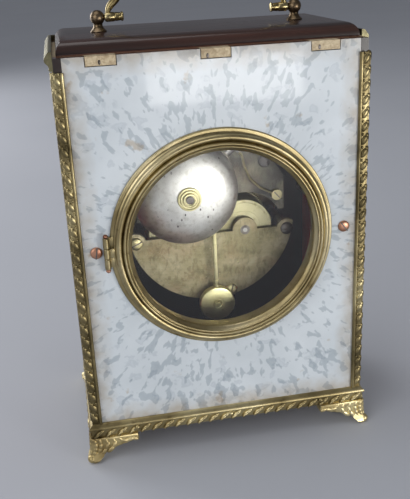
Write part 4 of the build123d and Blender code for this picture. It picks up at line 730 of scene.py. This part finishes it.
def trim_mesh():
    mesh = beveled_box((70.5, 43.0, TRIM_LOW), (75.6, 43.9, TRIM_HIGH), 0.15)
    merge_in(mesh, beveled_box((75.0, 38.5, TRIM_LOW), (75.9, 43.9, TRIM_HIGH), 0.15))
    for x, y in ((71.4, 44.0), (76.0, 39.4)):
        rod = bmesh.new()
        bmesh.ops.create_cone(rod, cap_ends=True, segments=12, radius1=TRIM_ROD * MM, radius2=TRIM_ROD * MM,
                              depth=(TRIM_HIGH - TRIM_LOW) * MM)
        move_piece(rod, (x, y, (TRIM_HIGH + TRIM_LOW) / 2))
        merge_in(mesh, rod)
    count = int((TRIM_HIGH - TRIM_LOW) / TRIM_PITCH)
    for index in range(count):
        z = TRIM_LOW + (index + 0.5) * (TRIM_HIGH - TRIM_LOW) / count
        merge_in(mesh, lobe((2.9, 1.7, 5.6), 28, (73.9, 44.0, z)))
        merge_in(mesh, lobe((1.7, 2.9, 5.6), -28, (76.0, 41.9, z), "X"))
        merge_in(mesh, lobe((2.6, 2.6, 3.4), 0, (75.2, 43.2, z + 2.2)))
        merge_in(mesh, lobe((1.1, 1.1, 1.6), 0, (72.9, 44.2, z + 2.9)))
        merge_in(mesh, lobe((1.1, 1.1, 1.6), 0, (76.2, 40.8, z + 2.9)))
    return mesh


def four_corners(mesh):
    """The mesh and its mirror images in the case's other three corners."""
    data = bpy.data.meshes.new("corner")
    mesh.to_mesh(data)
    for sign_x, sign_y in ((-1, 1), (1, -1), (-1, -1)):
        copy = bmesh.new()
        copy.from_mesh(data)
        mirror_piece(copy, (sign_x, sign_y, 1))
        merge_in(mesh, copy)
    bpy.data.meshes.remove(data)
    return mesh


trims = finish_piece("corner_trims_stamped", four_corners(trim_mesh()), trim_brass, "case",
                     50.0, ("corner_trims",))
print("corner trims", len(trims.data.polygons), "faces")

# %% [markdown]
# The base moulding is a plain bevel above a row of small carved leaves, pinned to the board with round
# pins. The plain part is one extruded section per side with mitred ends, and the leaves are lobes again.

# %% Base moulding
BASE_LOW = 14.5
BASE_HIGH = 22.6
LEAF_PITCH = 6.3
# A leaf's lobes: size, tilt, shift along the side, height above the base and reach from the case.
LEAF_LOBES = [((6.6, 2.8, 2.9), 34, -0.3, 2.6, 1.8), ((4.4, 2.2, 1.7), 40, 1.3, 1.5, 2.3),
              ((3.4, 2.0, 1.4), 30, -1.5, 4.1, 2.2)]


def base_section():
    return [(0, BASE_LOW), (1.5, BASE_LOW), (1.8, BASE_LOW + 0.8), (1.9, BASE_LOW + 4.6),
            (2.7, BASE_LOW + 5.0), (2.9, BASE_LOW + 5.5), (2.7, BASE_LOW + 6.2), (2.1, BASE_LOW + 6.9),
            (1.3, BASE_HIGH - 0.5), (0.8, BASE_HIGH), (0, BASE_HIGH)]


def leaf_row(mesh, half, face, degrees):
    """Leaves along one side of the base, made for the back and turned to their side."""
    count = int(2 * half / LEAF_PITCH)
    for index in range(count):
        x = -half + (index + 0.5) * 2 * half / count
        for size, tilt, shift, height, reach in LEAF_LOBES:
            leaf = lobe(size, tilt, (x + shift, face + reach, BASE_LOW + height))
            rotate_piece(leaf, degrees, "Z")
            merge_in(mesh, leaf)


def base_moulding_piece():
    mesh = bmesh.new()
    corners = [(SIDE, BACK_FACE), (-SIDE, BACK_FACE), (-SIDE, -BACK_FACE), (SIDE, -BACK_FACE)]
    for index in range(4):
        start, end = corners[index - 1], corners[index]
        merge_in(mesh, strip(base_section(), (*start, 0), (*end, 0), (1, 1)))
        along_x = index % 2 == 1
        half, face = (SIDE + 1, BACK_FACE) if along_x else (BACK_FACE + 1, SIDE)
        leaf_row(mesh, half, face, 90 * (index - 1))
    return finish_piece("base_moulding_carved", mesh, gilt, "case", 45.0, ("base_moulding",))


base_moulding = base_moulding_piece()
print("base moulding", len(base_moulding.data.polygons), "faces")

# %% [markdown]
# The cornice is cast: a hollow, a round shoulder and a row of leaf tips. One side strip stops short of
# the back, as it does on the real case. Its end shows the section, so the section is drawn with care.

# %% Cornice
CORNICE_LOW = 209.6
CORNICE_HIGH = 218.2
CORNICE_SHORT = 9.0
CORNICE_PITCH = 5.0


def cornice_section():
    low, high = CORNICE_LOW, CORNICE_HIGH
    points = [(0, low), (1.6, low), (2.0, low + 0.7), (1.7, low + 1.5)]
    points += [(2.1, low + 2.6), (2.9, low + 3.4)]
    points += [(3.5, low + 4.2), (3.6, low + 5.2), (3.3, low + 6.2), (2.6, low + 7.0), (2.3, low + 7.6),
               (1.7, high - 0.3), (1.2, high), (0, high)]
    return points


def cornice_piece():
    mesh = bmesh.new()
    runs = [((-SIDE, -BACK_FACE), (SIDE, -BACK_FACE), (1, 1)),
            ((SIDE, -BACK_FACE), (SIDE, BACK_FACE), (1, 0)),
            ((-SIDE, BACK_FACE - CORNICE_SHORT), (-SIDE, -BACK_FACE), (0, 1))]
    for start, end, mitres in runs:
        merge_in(mesh, strip(cornice_section(), (*start, 0), (*end, 0), mitres))
        run = Vector(end) - Vector(start)
        count = int(run.length / CORNICE_PITCH)
        out = Vector((run.y, -run.x)).normalized()
        for index in range(count):
            spot = Vector(start) + run * ((index + 0.5) / count) + out * 2.9
            merge_in(mesh, lobe((2.6 if run.x else 1.4, 1.4 if run.x else 2.6, 3.6), 0,
                                (spot.x, spot.y, CORNICE_LOW + 5.0), "Y", (8, 6)))
    return finish_piece("cornice_cast", mesh, cornice_brass, "case", 45.0, ("cornice",))


cornice = cornice_piece()
print("cornice", len(cornice.data.polygons), "faces")

# %% [markdown]
# Each foot is a cast corner bracket: a leg that sweeps outwards to a rolled toe, and two wings with a
# scrolled lower edge. The outline of a wing is drawn once, given thickness, and its edges are rounded.
# The raised ribs are stretched spheres in a row.

# %% Feet
WING_FACE = 2.9
WING_DEPTH = 6.5
WING_EDGE = 0.9
HEEL_SLOPE = (0, -4.6, -5.5)
RIB_RADIUS = 1.3
RIB_SUNK = 0.2
# Outline of a wing: distance from the case's corner along its side, and height.
WING = [(-23, 14.5), (2.6, 14.5), (2.3, 12.8), (2.0, 11.0), (2.1, 9.0), (2.6, 7.0), (3.5, 5.0), (4.6, 3.4),
        (5.2, 1.8), (4.4, 0.3), (2.4, 0.0), (1.2, 0.3), (-0.8, 1.7), (-3.0, 3.4), (-5.6, 5.1), (-8.0, 6.3),
        (-10.2, 7.2), (-11.6, 8.0), (-13.0, 8.2), (-14.6, 8.8), (-16.8, 9.0), (-18.6, 10.2), (-20.6, 10.4),
        (-22.4, 9.6), (-23.5, 10.8), (-23.2, 12.8)]
# Ribs on a wing: distance from the corner, height and share of the full radius.
RIBS = [
    [(0.8, 13.6, 0.8), (0.2, 11.4, 1), (0.3, 9.0, 1), (0.9, 6.8, 1), (1.9, 4.6, 0.9), (3.0, 2.8, 0.7)],
    [(-2.0, 13.4, 0.8), (-2.5, 10.8, 1), (-2.1, 8.2, 1), (-1.0, 5.8, 0.9), (0.4, 3.6, 0.8), (1.4, 2.0, 0.6)],
    [(-5.6, 13.0, 0.7), (-6.4, 10.4, 0.9), (-5.0, 7.4, 1), (-3.0, 4.8, 0.9), (-1.0, 2.4, 0.7)],
    [(-9.6, 12.8, 0.7), (-10.4, 10.6, 0.9), (-9.0, 8.0, 1), (-6.6, 5.9, 0.8)],
    [(-12.6, 13.2, 0.7), (-14.0, 11.6, 0.9), (-17.0, 11.0, 1), (-20.0, 12.0, 0.9), (-22.2, 11.2, 0.8)],
]


def wing_mesh(corner, face):
    mesh = bmesh.new()
    verts = [mesh.verts.new(((corner + along) * MM, face * MM, height * MM)) for along, height in WING]
    front = mesh.faces.new(verts)
    grown = bmesh.ops.extrude_face_region(mesh, geom=[front])
    moved = [g for g in grown["geom"] if isinstance(g, bmesh.types.BMVert)]
    bmesh.ops.translate(mesh, verts=moved, vec=(0, -WING_DEPTH * MM, 0))
    bmesh.ops.recalc_face_normals(mesh, faces=mesh.faces)
    rim = [e for e in mesh.edges if all(abs(v.co.y - face * MM) < 1e-6 for v in e.verts)]
    bmesh.ops.bevel(mesh, geom=rim, offset=WING_EDGE * MM, segments=3, profile=0.5, affect="EDGES",
                    material=-1)
    heel = Vector((0, (face - 1.7) * MM, 0))
    bmesh.ops.bisect_plane(mesh, geom=mesh.verts[:] + mesh.edges[:] + mesh.faces[:], plane_co=heel,
                           plane_no=HEEL_SLOPE, clear_outer=True)
    bmesh.ops.holes_fill(mesh, edges=[e for e in mesh.edges if e.is_boundary])
    return mesh


def rib_mesh(points, corner, face):
    mesh = bmesh.new()
    for (a, b, share), (c, d, _) in zip(points, points[1:]):
        length = math.hypot(c - a, d - b)
        tilt = math.degrees(math.atan2(d - b, c - a))
        merge_in(mesh, lobe((length * 1.9, RIB_RADIUS * 1.6 * share, RIB_RADIUS * 2 * share), -tilt,
                            (corner + (a + c) / 2, face, (b + d) / 2), "Y", (10, 8)))
    return mesh


def foot_mesh():
    mesh = bmesh.new()
    for corner, side in ((SIDE, BACK_FACE), (BACK_FACE, SIDE)):
        face = side + WING_FACE
        wing = wing_mesh(corner, face)
        for points in RIBS:
            merge_in(wing, rib_mesh(points, corner, face - RIB_SUNK))
        if side == SIDE:
            rotate_piece(wing, 90, "Z")
            mirror_piece(wing, (-1, 1, 1))
        merge_in(mesh, wing)
    merge_in(mesh, lobe((4.8, 4.8, 4.6), 0, (SIDE + 3.05, BACK_FACE + 2.55, 2.35), "Y", (16, 10)))
    merge_in(mesh, lobe((3.6, 3.6, 13.5), 0, (SIDE + 1.3, BACK_FACE + 1.3, 7.4), "Y", (12, 8)))
    return mesh


def trimmed_foot():
    """A foot cut flat at the floor."""
    mesh = foot_mesh()
    bmesh.ops.bisect_plane(mesh, geom=mesh.verts[:] + mesh.edges[:] + mesh.faces[:], plane_co=(0, 0, 0.0),
                           plane_no=(0, 0, -1), clear_outer=True)
    holes = [e for e in mesh.edges if e.is_boundary]
    if holes:
        bmesh.ops.holes_fill(mesh, edges=holes)
    return mesh


feet = finish_piece("feet_cast", four_corners(trimmed_foot()), foot_brass, "case", 45.0,
                    ("feet",))
print("feet", len(feet.data.polygons), "faces")

# %% [markdown]
# The handle's posts are turned and carry a ball. Each end of the bail is a turned stub beside a ball, with
# a scroll that rises from it into the arcs of the CAD tube. Its section swells and narrows, with collars.

# %% Handle
BALL_HEIGHT = 228.8
BALL_RADIUS = 3.65
POST = 50.9
BAIL_RADIUS = 1.95


def posts_piece():
    mesh = bmesh.new()
    for sign in (-1, 1):
        profile = [(0, 222.0), (4.1, 222.0), (4.2, 222.4), (3.7, 222.9), (2.9, 223.7), (2.4, 224.6),
                   (2.25, 225.3)]
        profile += arc((0, BALL_HEIGHT), BALL_RADIUS, -50, 90, 14)
        merge_in(mesh, turned([(max(r, 0), z) for r, z in profile], 32, (sign * POST, 0, 0), "Z"))
    return finish_piece("handle_posts_turned", mesh, post_bronze, "case", 50.0,
                        ("handle_posts",))


def bail_curve():
    """Line of the bail in mm: a scroll that turns in from the ball, then the arcs of the CAD tube."""
    foot = 40.2

    def circle(a, b, c):
        d = 2 * (a[0] * (b[1] - c[1]) + b[0] * (c[1] - a[1]) + c[0] * (a[1] - b[1]))
        sq = [p[0] ** 2 + p[1] ** 2 for p in (a, b, c)]
        return ((sq[0] * (b[1] - c[1]) + sq[1] * (c[1] - a[1]) + sq[2] * (a[1] - b[1])) / d,
                (sq[0] * (c[0] - b[0]) + sq[1] * (a[0] - c[0]) + sq[2] * (b[0] - a[0])) / d)

    def tangent_centre(point, centre, target):
        normal = Vector(point) - Vector(centre)
        gap = Vector(target) - Vector(point)
        return Vector(point) + normal * (gap.length_squared / (2 * gap.dot(normal)))

    def sweep(centre, start, end, count):
        first_angle = math.atan2(start[1] - centre[1], start[0] - centre[0])
        last_angle = math.atan2(end[1] - centre[1], end[0] - centre[0])
        turn = (last_angle - first_angle) % (2 * math.pi)
        radius = math.dist(start, centre)
        angles = [first_angle + turn * i / count for i in range(count)]
        return [(centre[0] + radius * math.cos(a), centre[1] + radius * math.sin(a)) for a in angles]

    start, belly, waist = (foot, 0.0), (foot + 4.2, 9.0), (foot + 3.2, 17.0)
    shoulder = (foot - 11.0, 31.0)
    first = circle(start, belly, waist)
    second = tangent_centre(waist, first, shoulder)
    third = tangent_centre(shoulder, second, (-shoulder[0], shoulder[1]))
    scroll = [(45.6, 2.0), (45.2, 4.6), (42.2, 6.9), (39.8, 9.8), (39.5, 13.6), (41.4, 17.4)]
    half = scroll + sweep(second, waist, shoulder, 10)[3:]
    crown = sweep(third, shoulder, (-shoulder[0], shoulder[1]), 16)
    mirror = [(-x, z) for x, z in reversed(half)]
    return half + crown + [(-shoulder[0], shoulder[1])] + mirror


def bail_piece():
    points = bail_curve()
    curve = bpy.data.curves.new("bail_line", "CURVE")
    curve.dimensions = "3D"
    spline = curve.splines.new("NURBS")
    spline.points.add(len(points) - 1)
    total = len(points) - 1
    for index, (x, z) in enumerate(points):
        spline.points[index].co = (x * MM, 0, (BALL_HEIGHT + z) * MM, 1)
        share = abs(index / total - 0.5) * 2
        spline.points[index].radius = 1.0 + 0.14 * math.cos(share * math.pi * 5) * (share > 0.1)
    for end in (0, total):
        spline.points[end].radius = 0.6
    spline.order_u = 4
    spline.use_endpoint_u = True
    spline.resolution_u = 4
    curve.bevel_depth = BAIL_RADIUS * MM
    curve.bevel_resolution = 5
    curve.use_fill_caps = True
    holder = bpy.data.objects.new("bail_line", curve)
    bpy.context.scene.collection.objects.link(holder)
    data = bpy.data.meshes.new_from_object(holder.evaluated_get(bpy.context.evaluated_depsgraph_get()))
    mesh = bmesh.new()
    mesh.from_mesh(data)
    bpy.data.objects.remove(holder)
    bpy.data.meshes.remove(data)
    for sign in (-1, 1):
        near = POST - BALL_RADIUS + 0.15
        stub = [(0, near - 9.6), (1.5, near - 9.6), (2.3, near - 9.2), (2.3, near - 8.5), (1.95, near - 8.1),
                (2.2, near - 5.6), (2.0, near - 5.2), (2.3, near - 4.8), (2.4, near - 1.2), (2.0, near - 0.2),
                (1.0, near), (1.0, near + 6.2), (0, near + 6.2)]
        part = turned(stub, 28, (0, 0, 0), "Z")
        rotate_piece(part, sign * 90, "Y")
        move_piece(part, (0, 0, BALL_HEIGHT))
        merge_in(mesh, part)
        for at in (7, 14):
            x, z = points[at]
            merge_in(mesh, lobe((4.7, 4.7, 4.7), 0, (sign * x, 0, BALL_HEIGHT + z), "Y", (18, 10)))
    return finish_piece("handle_bail_cast", mesh, handle_brass, "handle", 45.0,
                        ("handle_bail",))


posts = posts_piece()
bail = bail_piece()
print("handle", len(posts.data.vertices), len(bail.data.vertices))

# %% [markdown]
# The bell is a spun dome with a soft shoulder. A fine profile is spun in many steps, because a smooth
# highlight shows every facet. On its crown sits its nut, cut with rings on the lathe.

# %% Bell and nut
RIM = 21.0
CROWN = RIM + 12.5
BELL_WALL = 1.0


def bell_profile():
    dome = [(28.0, 0), (28.0, 0.7), (27.6, 2.4), (26.6, 4.6), (25.0, 6.6), (22.8, 8.3), (19.8, 9.9),
            (16.0, 11.1), (12.0, 11.9), (8.0, 12.35), (4.0, 12.5), (2.1, 12.5)]
    outer = [(radius, RIM + rise) for radius, rise in dome]
    inner = [(max(radius - BELL_WALL, 2.1), y - 1.1) for radius, y in reversed(outer[2:])]
    return outer + inner + [(26.9, RIM), (28.0, RIM)]


def soften(profile, rounds=2):
    """Cuts the corners of a profile so that a turned shape reads as a curve."""
    for _ in range(rounds):
        fresh = [profile[0]]
        for (a, b), (c, d) in zip(profile, profile[1:]):
            fresh += [(a * 0.75 + c * 0.25, b * 0.75 + d * 0.25), (a * 0.25 + c * 0.75, b * 0.25 + d * 0.75)]
        profile = fresh + [profile[-1]]
    return profile


bell = finish_piece("bell_spun", turned(soften(bell_profile()), 128, BELL), bell_metal, "case",
                    replaces=("bell",))
nut_rings = [(2.02, 0), (6.2, 0), (6.2, 0.8), (5.95, 1.1), (5.35, 1.15), (5.25, 0.45), (4.95, 0.45),
             (4.85, 1.6), (4.6, 1.75), (4.0, 1.75), (3.9, 1.0), (3.6, 1.0), (3.5, 2.3), (3.3, 2.55),
             (2.6, 2.6), (2.5, 1.6), (2.02, 1.5), (2.02, 0)]
nut_profile = [(radius, CROWN + rise) for radius, rise in nut_rings]
nut = finish_piece("bell_nut_turned", turned(nut_profile, 64, BELL), bright_brass, "case",
                   28.0, ("bell_nut",))
print("bell", len(bell.data.vertices), "nut", len(nut.data.vertices))

# %% [markdown]
# The five plate screws have domed slotted heads, two of them brass and three dark. The case screws are
# coppery with a wide slot. Domes are spun, and the slot is a thin dark bar let into the head: painted shade
# for the cut.

# %% Screw heads
EAR_CIRCLE = 43
EAR_ANGLES = (-11.7, 191.7, 257.4, 46.0, 134.0)
CASE_SCREW_SIDE = 64.2


def screw_head(radius, height, place, slot_turn, slot_width=0.7):
    angles = [math.radians(a) for a in range(12, 91, 13)]
    dome = [(radius * math.sin(a), height * (0.35 + 0.65 * math.cos(a))) for a in angles]
    mesh = turned([(0, height)] + dome + [(radius, 0), (0, 0)], 32)
    slot = beveled_box((-radius * 0.98, height * 0.55, -slot_width / 2),
                       (radius * 0.98, height * 1.06, slot_width / 2), 0.05, 1)
    rotate_piece(slot, slot_turn, "Y")
    for part in (mesh, slot):
        move_piece(part, place)
    return mesh, slot


def screws_piece(name, places, radius, height, material, shank, first_turn=25.0, replaces=()):
    """Screws of one kind, each with its slot turned its own way. A shank is a radius and a length."""
    heads, slots = bmesh.new(), bmesh.new()
    for index, (x, y, z) in enumerate(places):
        head, slot = screw_head(radius, height, (x, y, z), first_turn + 47 * index)
        merge_in(heads, head)
        merge_in(slots, slot)
        rod = [(0, y - shank[1]), (shank[0], y - shank[1]), (shank[0], y), (0, y)]
        merge_in(heads, turned(rod, 20, (x, 0, z)))
    piece = finish_piece(name, heads, material, "case", replaces=replaces)
    # The slot bars are dark steel, painted shade standing in for the depth of each cut.
    finish_piece(name + "_slot_shade", slots, dark_steel, "case")
    return piece


ears = [(EAR_CIRCLE * math.cos(math.radians(a)), PLATE_BACK,
         DOOR_HEIGHT + EAR_CIRCLE * math.sin(math.radians(a))) for a in EAR_ANGLES]
case_places = [(sign * CASE_SCREW_SIDE, BACK_FACE, DOOR_HEIGHT) for sign in (1, -1)]
screws = [
    screws_piece("plate_screws_domed", [ears[1], ears[3], ears[4]], 3.5, 1.6, dark_steel,
                 (1.35, 5.8), replaces=("plate_screws",)),
    screws_piece("brass_plate_screws", [ears[0], ears[2]], 3.5, 1.6, bright_brass,
                 (1.35, 5.8)),
    screws_piece("case_screws_domed", case_places, 3.0, 1.5, copper, (1.5, 80.0), 80.0,
                 ("case_screws",)),
]
print("screws", [len(piece.data.vertices) for piece in screws])

# %% [markdown]
# The pendulum: a flat pale rod, a ferrule and a thick brass bob with a turned face. The bob is spun about
# its own axis, with fine rings on its face, a rounded edge and a small regulating nut.

# %% Pendulum
PIVOT_RISE = 36.3
PENDULUM_LENGTH = 83.0
BOB_Z = DOOR_HEIGHT + PIVOT_RISE - PENDULUM_LENGTH
ROD_Y = 18.0
ROD_TOP = 150.8


def bob_piece():
    back = ROD_Y + 2.3
    face = [(0, back + 0.8), (1.1, back + 0.8), (1.3, back + 0.45), (1.7, back + 0.45), (2.2, back + 0.75),
            (2.4, back + 0.3), (2.6, back + 0.02)]
    face += [(3.4, back + 0.02), (3.5, back - 0.1), (3.7, back - 0.1), (3.8, back)]
    face += [(8.9, back - 0.05), (9.6, back - 0.3), (9.95, back - 0.9), (10.0, back - 2.3)]
    mesh = turned(face + [(9.95, back - 3.7), (9.5, back - 4.4), (8.8, back - 4.6), (0, back - 4.6)], 96,
                  (0, 0, BOB_Z))
    return finish_piece("pendulum_bob_turned", mesh, bob_brass, "pendulum", 30.0,
                        ("pendulum_bob",))


def rod_piece():
    mesh = beveled_box((-0.95, ROD_Y - 0.7, BOB_Z + 2), (0.95, ROD_Y + 0.7, ROD_TOP), 0.2)
    ferrule = [(0, 0), (1.3, 0), (1.7, 0.3), (1.7, 1.2), (1.45, 1.5), (1.6, 1.9), (1.6, 3.4), (1.3, 3.9),
               (0, 4.0)]
    merge_in(mesh, turned(ferrule, 24, (0, ROD_Y, BOB_Z + 10.0), "Z"))
    return finish_piece("pendulum_rod_flat", mesh, bright_brass, "pendulum", 30.0,
                        ("pendulum_rod",))


bob = bob_piece()
rod = rod_piece()
print("pendulum", len(bob.data.vertices), len(rod.data.vertices))

# %% [markdown]
# The barrels show between the plates as bright turned lids with fine rings. A spun lid lies over each
# CAD drum's back, and its rim has the same small step as the real one.

# %% Barrel lids
LID_FACE = 8.8


def barrel_lid(name, sign, body):
    rings = [(2.6, 0), (2.6, 0.12), (4.2, 0.14), (4.3, 0.02), (4.6, 0.02), (4.7, 0.14), (9.5, 0.16),
             (9.6, 0.06), (9.9, 0.06), (10.0, 0.16), (14.2, 0.16), (14.4, 0.02), (14.8, 0.02),
             (15.0, 0.18), (15.8, 0.16), (16.02, -0.1), (16.02, -0.6), (2.6, -0.6), (2.6, 0)]
    profile = [(radius, LID_FACE + rise) for radius, rise in rings]
    mesh = turned(profile, 96, (sign * BARREL_SIDE, 0, BARREL_HEIGHT))
    return finish_piece(name, mesh, lid_brass, body, 25.0)


lids = [barrel_lid("going_barrel_lid", 1, "going_barrel"),
        barrel_lid("strike_barrel_lid", -1, "strike_barrel")]
print("barrel lids", [len(piece.data.vertices) for piece in lids])

# %% [markdown]
# The dial has a minute track, roman numerals and a plain centre. The numerals are text made into thin
# meshes and laid on the enamel, and sixty small bars make the track.

# %% Dial
NUMERAL_SIZE = 9.2
NUMERAL_CIRCLE = 33.5
TRACK_CIRCLE = 42.5
TRACK_HALF = 1.3
INK_HALF = 0.03
ROMAN = ["XII", "I", "II", "III", "IIII", "V", "VI", "VII", "VIII", "IX", "X", "XI"]


def on_dial(radius, clock_angle):
    """Place on the dial in mm, clockwise from the top as seen from the front."""
    turn = math.radians(clock_angle)
    return Vector((radius * math.sin(turn), DIAL_FACE, DOOR_HEIGHT + radius * math.cos(turn)))


def numerals_piece():
    mesh = bmesh.new()
    for hour, word in enumerate(ROMAN):
        curve = bpy.data.curves.new("numeral", "FONT")
        curve.body = word
        curve.size = NUMERAL_SIZE * MM
        curve.extrude = INK_HALF * MM
        curve.align_x = "CENTER"
        curve.align_y = "CENTER"
        holder = bpy.data.objects.new("numeral", curve)
        bpy.context.scene.collection.objects.link(holder)
        bpy.context.view_layer.update()
        data = bpy.data.meshes.new_from_object(holder.evaluated_get(bpy.context.evaluated_depsgraph_get()))
        bpy.data.objects.remove(holder)
        part = bmesh.new()
        part.from_mesh(data)
        bpy.data.meshes.remove(data)
        rotate_piece(part, 90, "X")
        rotate_piece(part, hour * 30, "Y")
        move_piece(part, on_dial(NUMERAL_CIRCLE, hour * 30) - Vector((0, INK_HALF, 0)))
        merge_in(mesh, part)
    return finish_piece("dial_numerals", mesh, ink, "case")


def track_piece():
    mesh = bmesh.new()
    for minute in range(60):
        wide = 0.9 if minute % 5 == 0 else 0.35
        bar = beveled_box((-wide / 2, -2 * INK_HALF, -1.1), (wide / 2, 0.0, 1.1), 0.02, 1)
        rotate_piece(bar, minute * 6, "Y")
        move_piece(bar, on_dial(TRACK_CIRCLE, minute * 6))
        merge_in(mesh, bar)
    for radius in (TRACK_CIRCLE - TRACK_HALF, TRACK_CIRCLE + TRACK_HALF):
        inner, outer = radius - 0.12, radius + 0.12
        ring = [(inner, 0), (outer, 0), (outer, -2 * INK_HALF), (inner, -2 * INK_HALF), (inner, 0)]
        merge_in(mesh, turned(ring, 160, (0, DIAL_FACE, DOOR_HEIGHT)))
    return finish_piece("dial_minute_track", mesh, ink, "case")


numerals = numerals_piece()
track = track_piece()


def winding_collars():
    mesh = bmesh.new()
    for sign in (-1, 1):
        merge_in(mesh, turned([(3.0, -0.9), (3.0, 0.25), (3.5, 0.3), (3.9, 0.0), (3.0, 0.0)], 40,
                              (sign * BARREL_SIDE, -DIAL_FACE, BARREL_HEIGHT)))
    flip_to_front(mesh)
    return finish_piece("winding_collars", mesh, bright_brass, "case")


collars = winding_collars()
print("dial", len(numerals.data.polygons), len(track.data.polygons), len(collars.data.polygons))

# %% [markdown]
# Small things that finish the case: a nail in each oak tenon, round heads on the moulding pins, a dark bar
# as painted shade for the slot in the hammer's collet, and the dark rings of the arbors' pivots.

# %% Nails, pin heads, slot and pivot rings


def nails_piece():
    mesh = bmesh.new()
    for x, z in ((54.1, 212.3), (4.0, 211.9), (-50.3, 212.3)):
        nail = turned([(0, 43.12), (0.5, 43.1), (0.62, 43.0), (0.62, 42.4), (0, 42.4)], 12)
        bmesh.ops.scale(nail, vec=(1.1, 1, 1.9), verts=nail.verts)
        move_piece(nail, (x, 0, z))
        merge_in(mesh, nail)
    return finish_piece("tenon_nails", mesh, dark_steel, "case")


def pin_heads_piece():
    mesh = bmesh.new()
    for x in (-52.0, 0.0, 52.0):
        for front in (False, True):
            head = turned([(0, 47.0), (0.9, 46.8), (1.35, 46.3), (1.45, 45.7), (1.45, 45.0), (0, 45.0)], 20,
                          (x, 0, 18.4))
            if front:
                flip_to_front(head)
            merge_in(mesh, head)
    return finish_piece("moulding_pin_heads", mesh, gilt, "case")


def collet_slot_piece():
    # A dark bar on the collet: painted shade for its slot.
    slot = beveled_box((-2.2, 15.6, -0.35), (2.2, 15.96, 0.35), 0.03, 1)
    rotate_piece(slot, -50, "Y")
    move_piece(slot, (-36.0, 0, 132.5))
    return finish_piece("hammer_collet_slot_shade", slot, dark_steel, "hammer")


def pivot_rings_piece():
    """Two dark rings round each winding arbor's end on the back plate."""
    mesh = bmesh.new()
    for sign in (-1, 1):
        for inner, outer, top, low in ((1.25, 2.0, 0.34, 0.2), (2.06, 2.7, 0.03, -0.1)):
            top, low = PLATE_BACK + top, PLATE_BACK + low
            ring = [(inner, top), (outer, top), (outer, low), (inner, low), (inner, top)]
            merge_in(mesh, turned(ring, 32, (sign * BARREL_SIDE, 0, BARREL_HEIGHT)))
    return finish_piece("pivot_rings", mesh, dark_steel, "case")


small_pieces = [collet_slot_piece(), pivot_rings_piece(), nails_piece(), pin_heads_piece()]
print("small pieces", [len(piece.data.vertices) for piece in small_pieces])

# %% [markdown]
# The stage: a plain pale floor and backdrop, soft studio light, and the camera where the photograph was
# taken, above and behind the clock and a little to one side.

# %% Stage, light and camera


def stage_finish():
    finish = Finish("pale_floor", roughness=0.8, specular=0.2)
    finish.color(finish.ramp(finish.noise(3.0, 2.0),
                             [(0.3, (0.43, 0.445, 0.49)), (0.7, (0.45, 0.465, 0.51))]))
    return finish.material


floor_mesh = bmesh.new()
bmesh.ops.create_grid(floor_mesh, x_segments=4, y_segments=4, size=15.0)
floor_data = bpy.data.meshes.new("floor")
floor_mesh.to_mesh(floor_data)
floor_mesh.free()
floor_data.materials.append(stage_finish())
floor = bpy.data.objects.new("floor", floor_data)
bpy.context.scene.collection.objects.link(floor)


def soft_lamp(name, place, target, size, power, color=WHITE):
    lamp = bpy.data.lights.new(name, "AREA")
    lamp.shape = "RECTANGLE"
    lamp.size, lamp.size_y = size
    lamp.energy = power
    lamp.color = color
    holder = bpy.data.objects.new(name, lamp)
    holder.location = place
    holder.rotation_euler = (Vector(target) - Vector(place)).to_track_quat("-Z", "Y").to_euler()
    holder.visible_camera = False
    bpy.context.scene.collection.objects.link(holder)


soft_lamp("key", (-0.52, 0.76, 0.06), (0, 0, 0.11), (0.2, 0.2), 4.0, (1.0, 0.98, 0.95))
soft_lamp("strip", (-0.17, 0.83, 0.08), (0, 0, 0.13), (0.24, 0.07), 0.75, (1.0, 0.99, 0.97))
soft_lamp("fill", (0.95, 0.85, 0.6), (0, 0, 0.12), (0.9, 0.9), 6.0)
soft_lamp("top", (0.3, 0.1, 1.4), (0, 0, 0.1), (1.0, 1.0), 5.0)
soft_lamp("front", (0.95, -1.1, 0.5), (0, 0, 0.12), (0.9, 0.9), 13.0)

world = bpy.data.worlds.new("studio")
world.use_nodes = True
soft_sky = world.node_tree.nodes["Background"]
soft_sky.inputs["Color"].default_value = (0.80, 0.82, 0.86, 1)
soft_sky.inputs["Strength"].default_value = 0.38
backdrop = world.node_tree.nodes.new("ShaderNodeBackground")
backdrop.inputs["Color"].default_value = (0.128, 0.133, 0.148, 1)
backdrop.inputs["Strength"].default_value = 1.0
seen = world.node_tree.nodes.new("ShaderNodeLightPath")
seen_or_mirrored = world.node_tree.nodes.new("ShaderNodeMath")
seen_or_mirrored.operation = "MAXIMUM"
through_glass = world.node_tree.nodes.new("ShaderNodeMath")
through_glass.operation = "MAXIMUM"
either = world.node_tree.nodes.new("ShaderNodeMixShader")
link = world.node_tree.links.new
link(seen.outputs["Is Camera Ray"], seen_or_mirrored.inputs[0])
link(seen.outputs["Is Glossy Ray"], seen_or_mirrored.inputs[1])
link(seen_or_mirrored.outputs[0], through_glass.inputs[0])
link(seen.outputs["Is Transmission Ray"], through_glass.inputs[1])
link(through_glass.outputs[0], either.inputs[0])
link(soft_sky.outputs[0], either.inputs[1])
link(backdrop.outputs[0], either.inputs[2])
link(either.outputs[0], world.node_tree.nodes["World Output"].inputs["Surface"])
bpy.context.scene.world = world

CAMERA_PLACE = (0.0707, 0.3959, 0.2553)
CAMERA_TURN = (68.716, 2.596, 169.176)
CAMERA_LENS = 54.5
camera_data = bpy.data.cameras.new("camera")
camera_data.lens = CAMERA_LENS
camera_data.clip_start = 0.01
camera = bpy.data.objects.new("camera", camera_data)
camera.location = CAMERA_PLACE
camera.rotation_euler = [math.radians(angle) for angle in CAMERA_TURN]
bpy.context.scene.collection.objects.link(camera)
bpy.context.scene.camera = camera
bpy.context.scene.view_settings.view_transform = "Standard"
print("camera at", CAMERA_PLACE)

# %% Last update
bpy.context.view_layer.update()
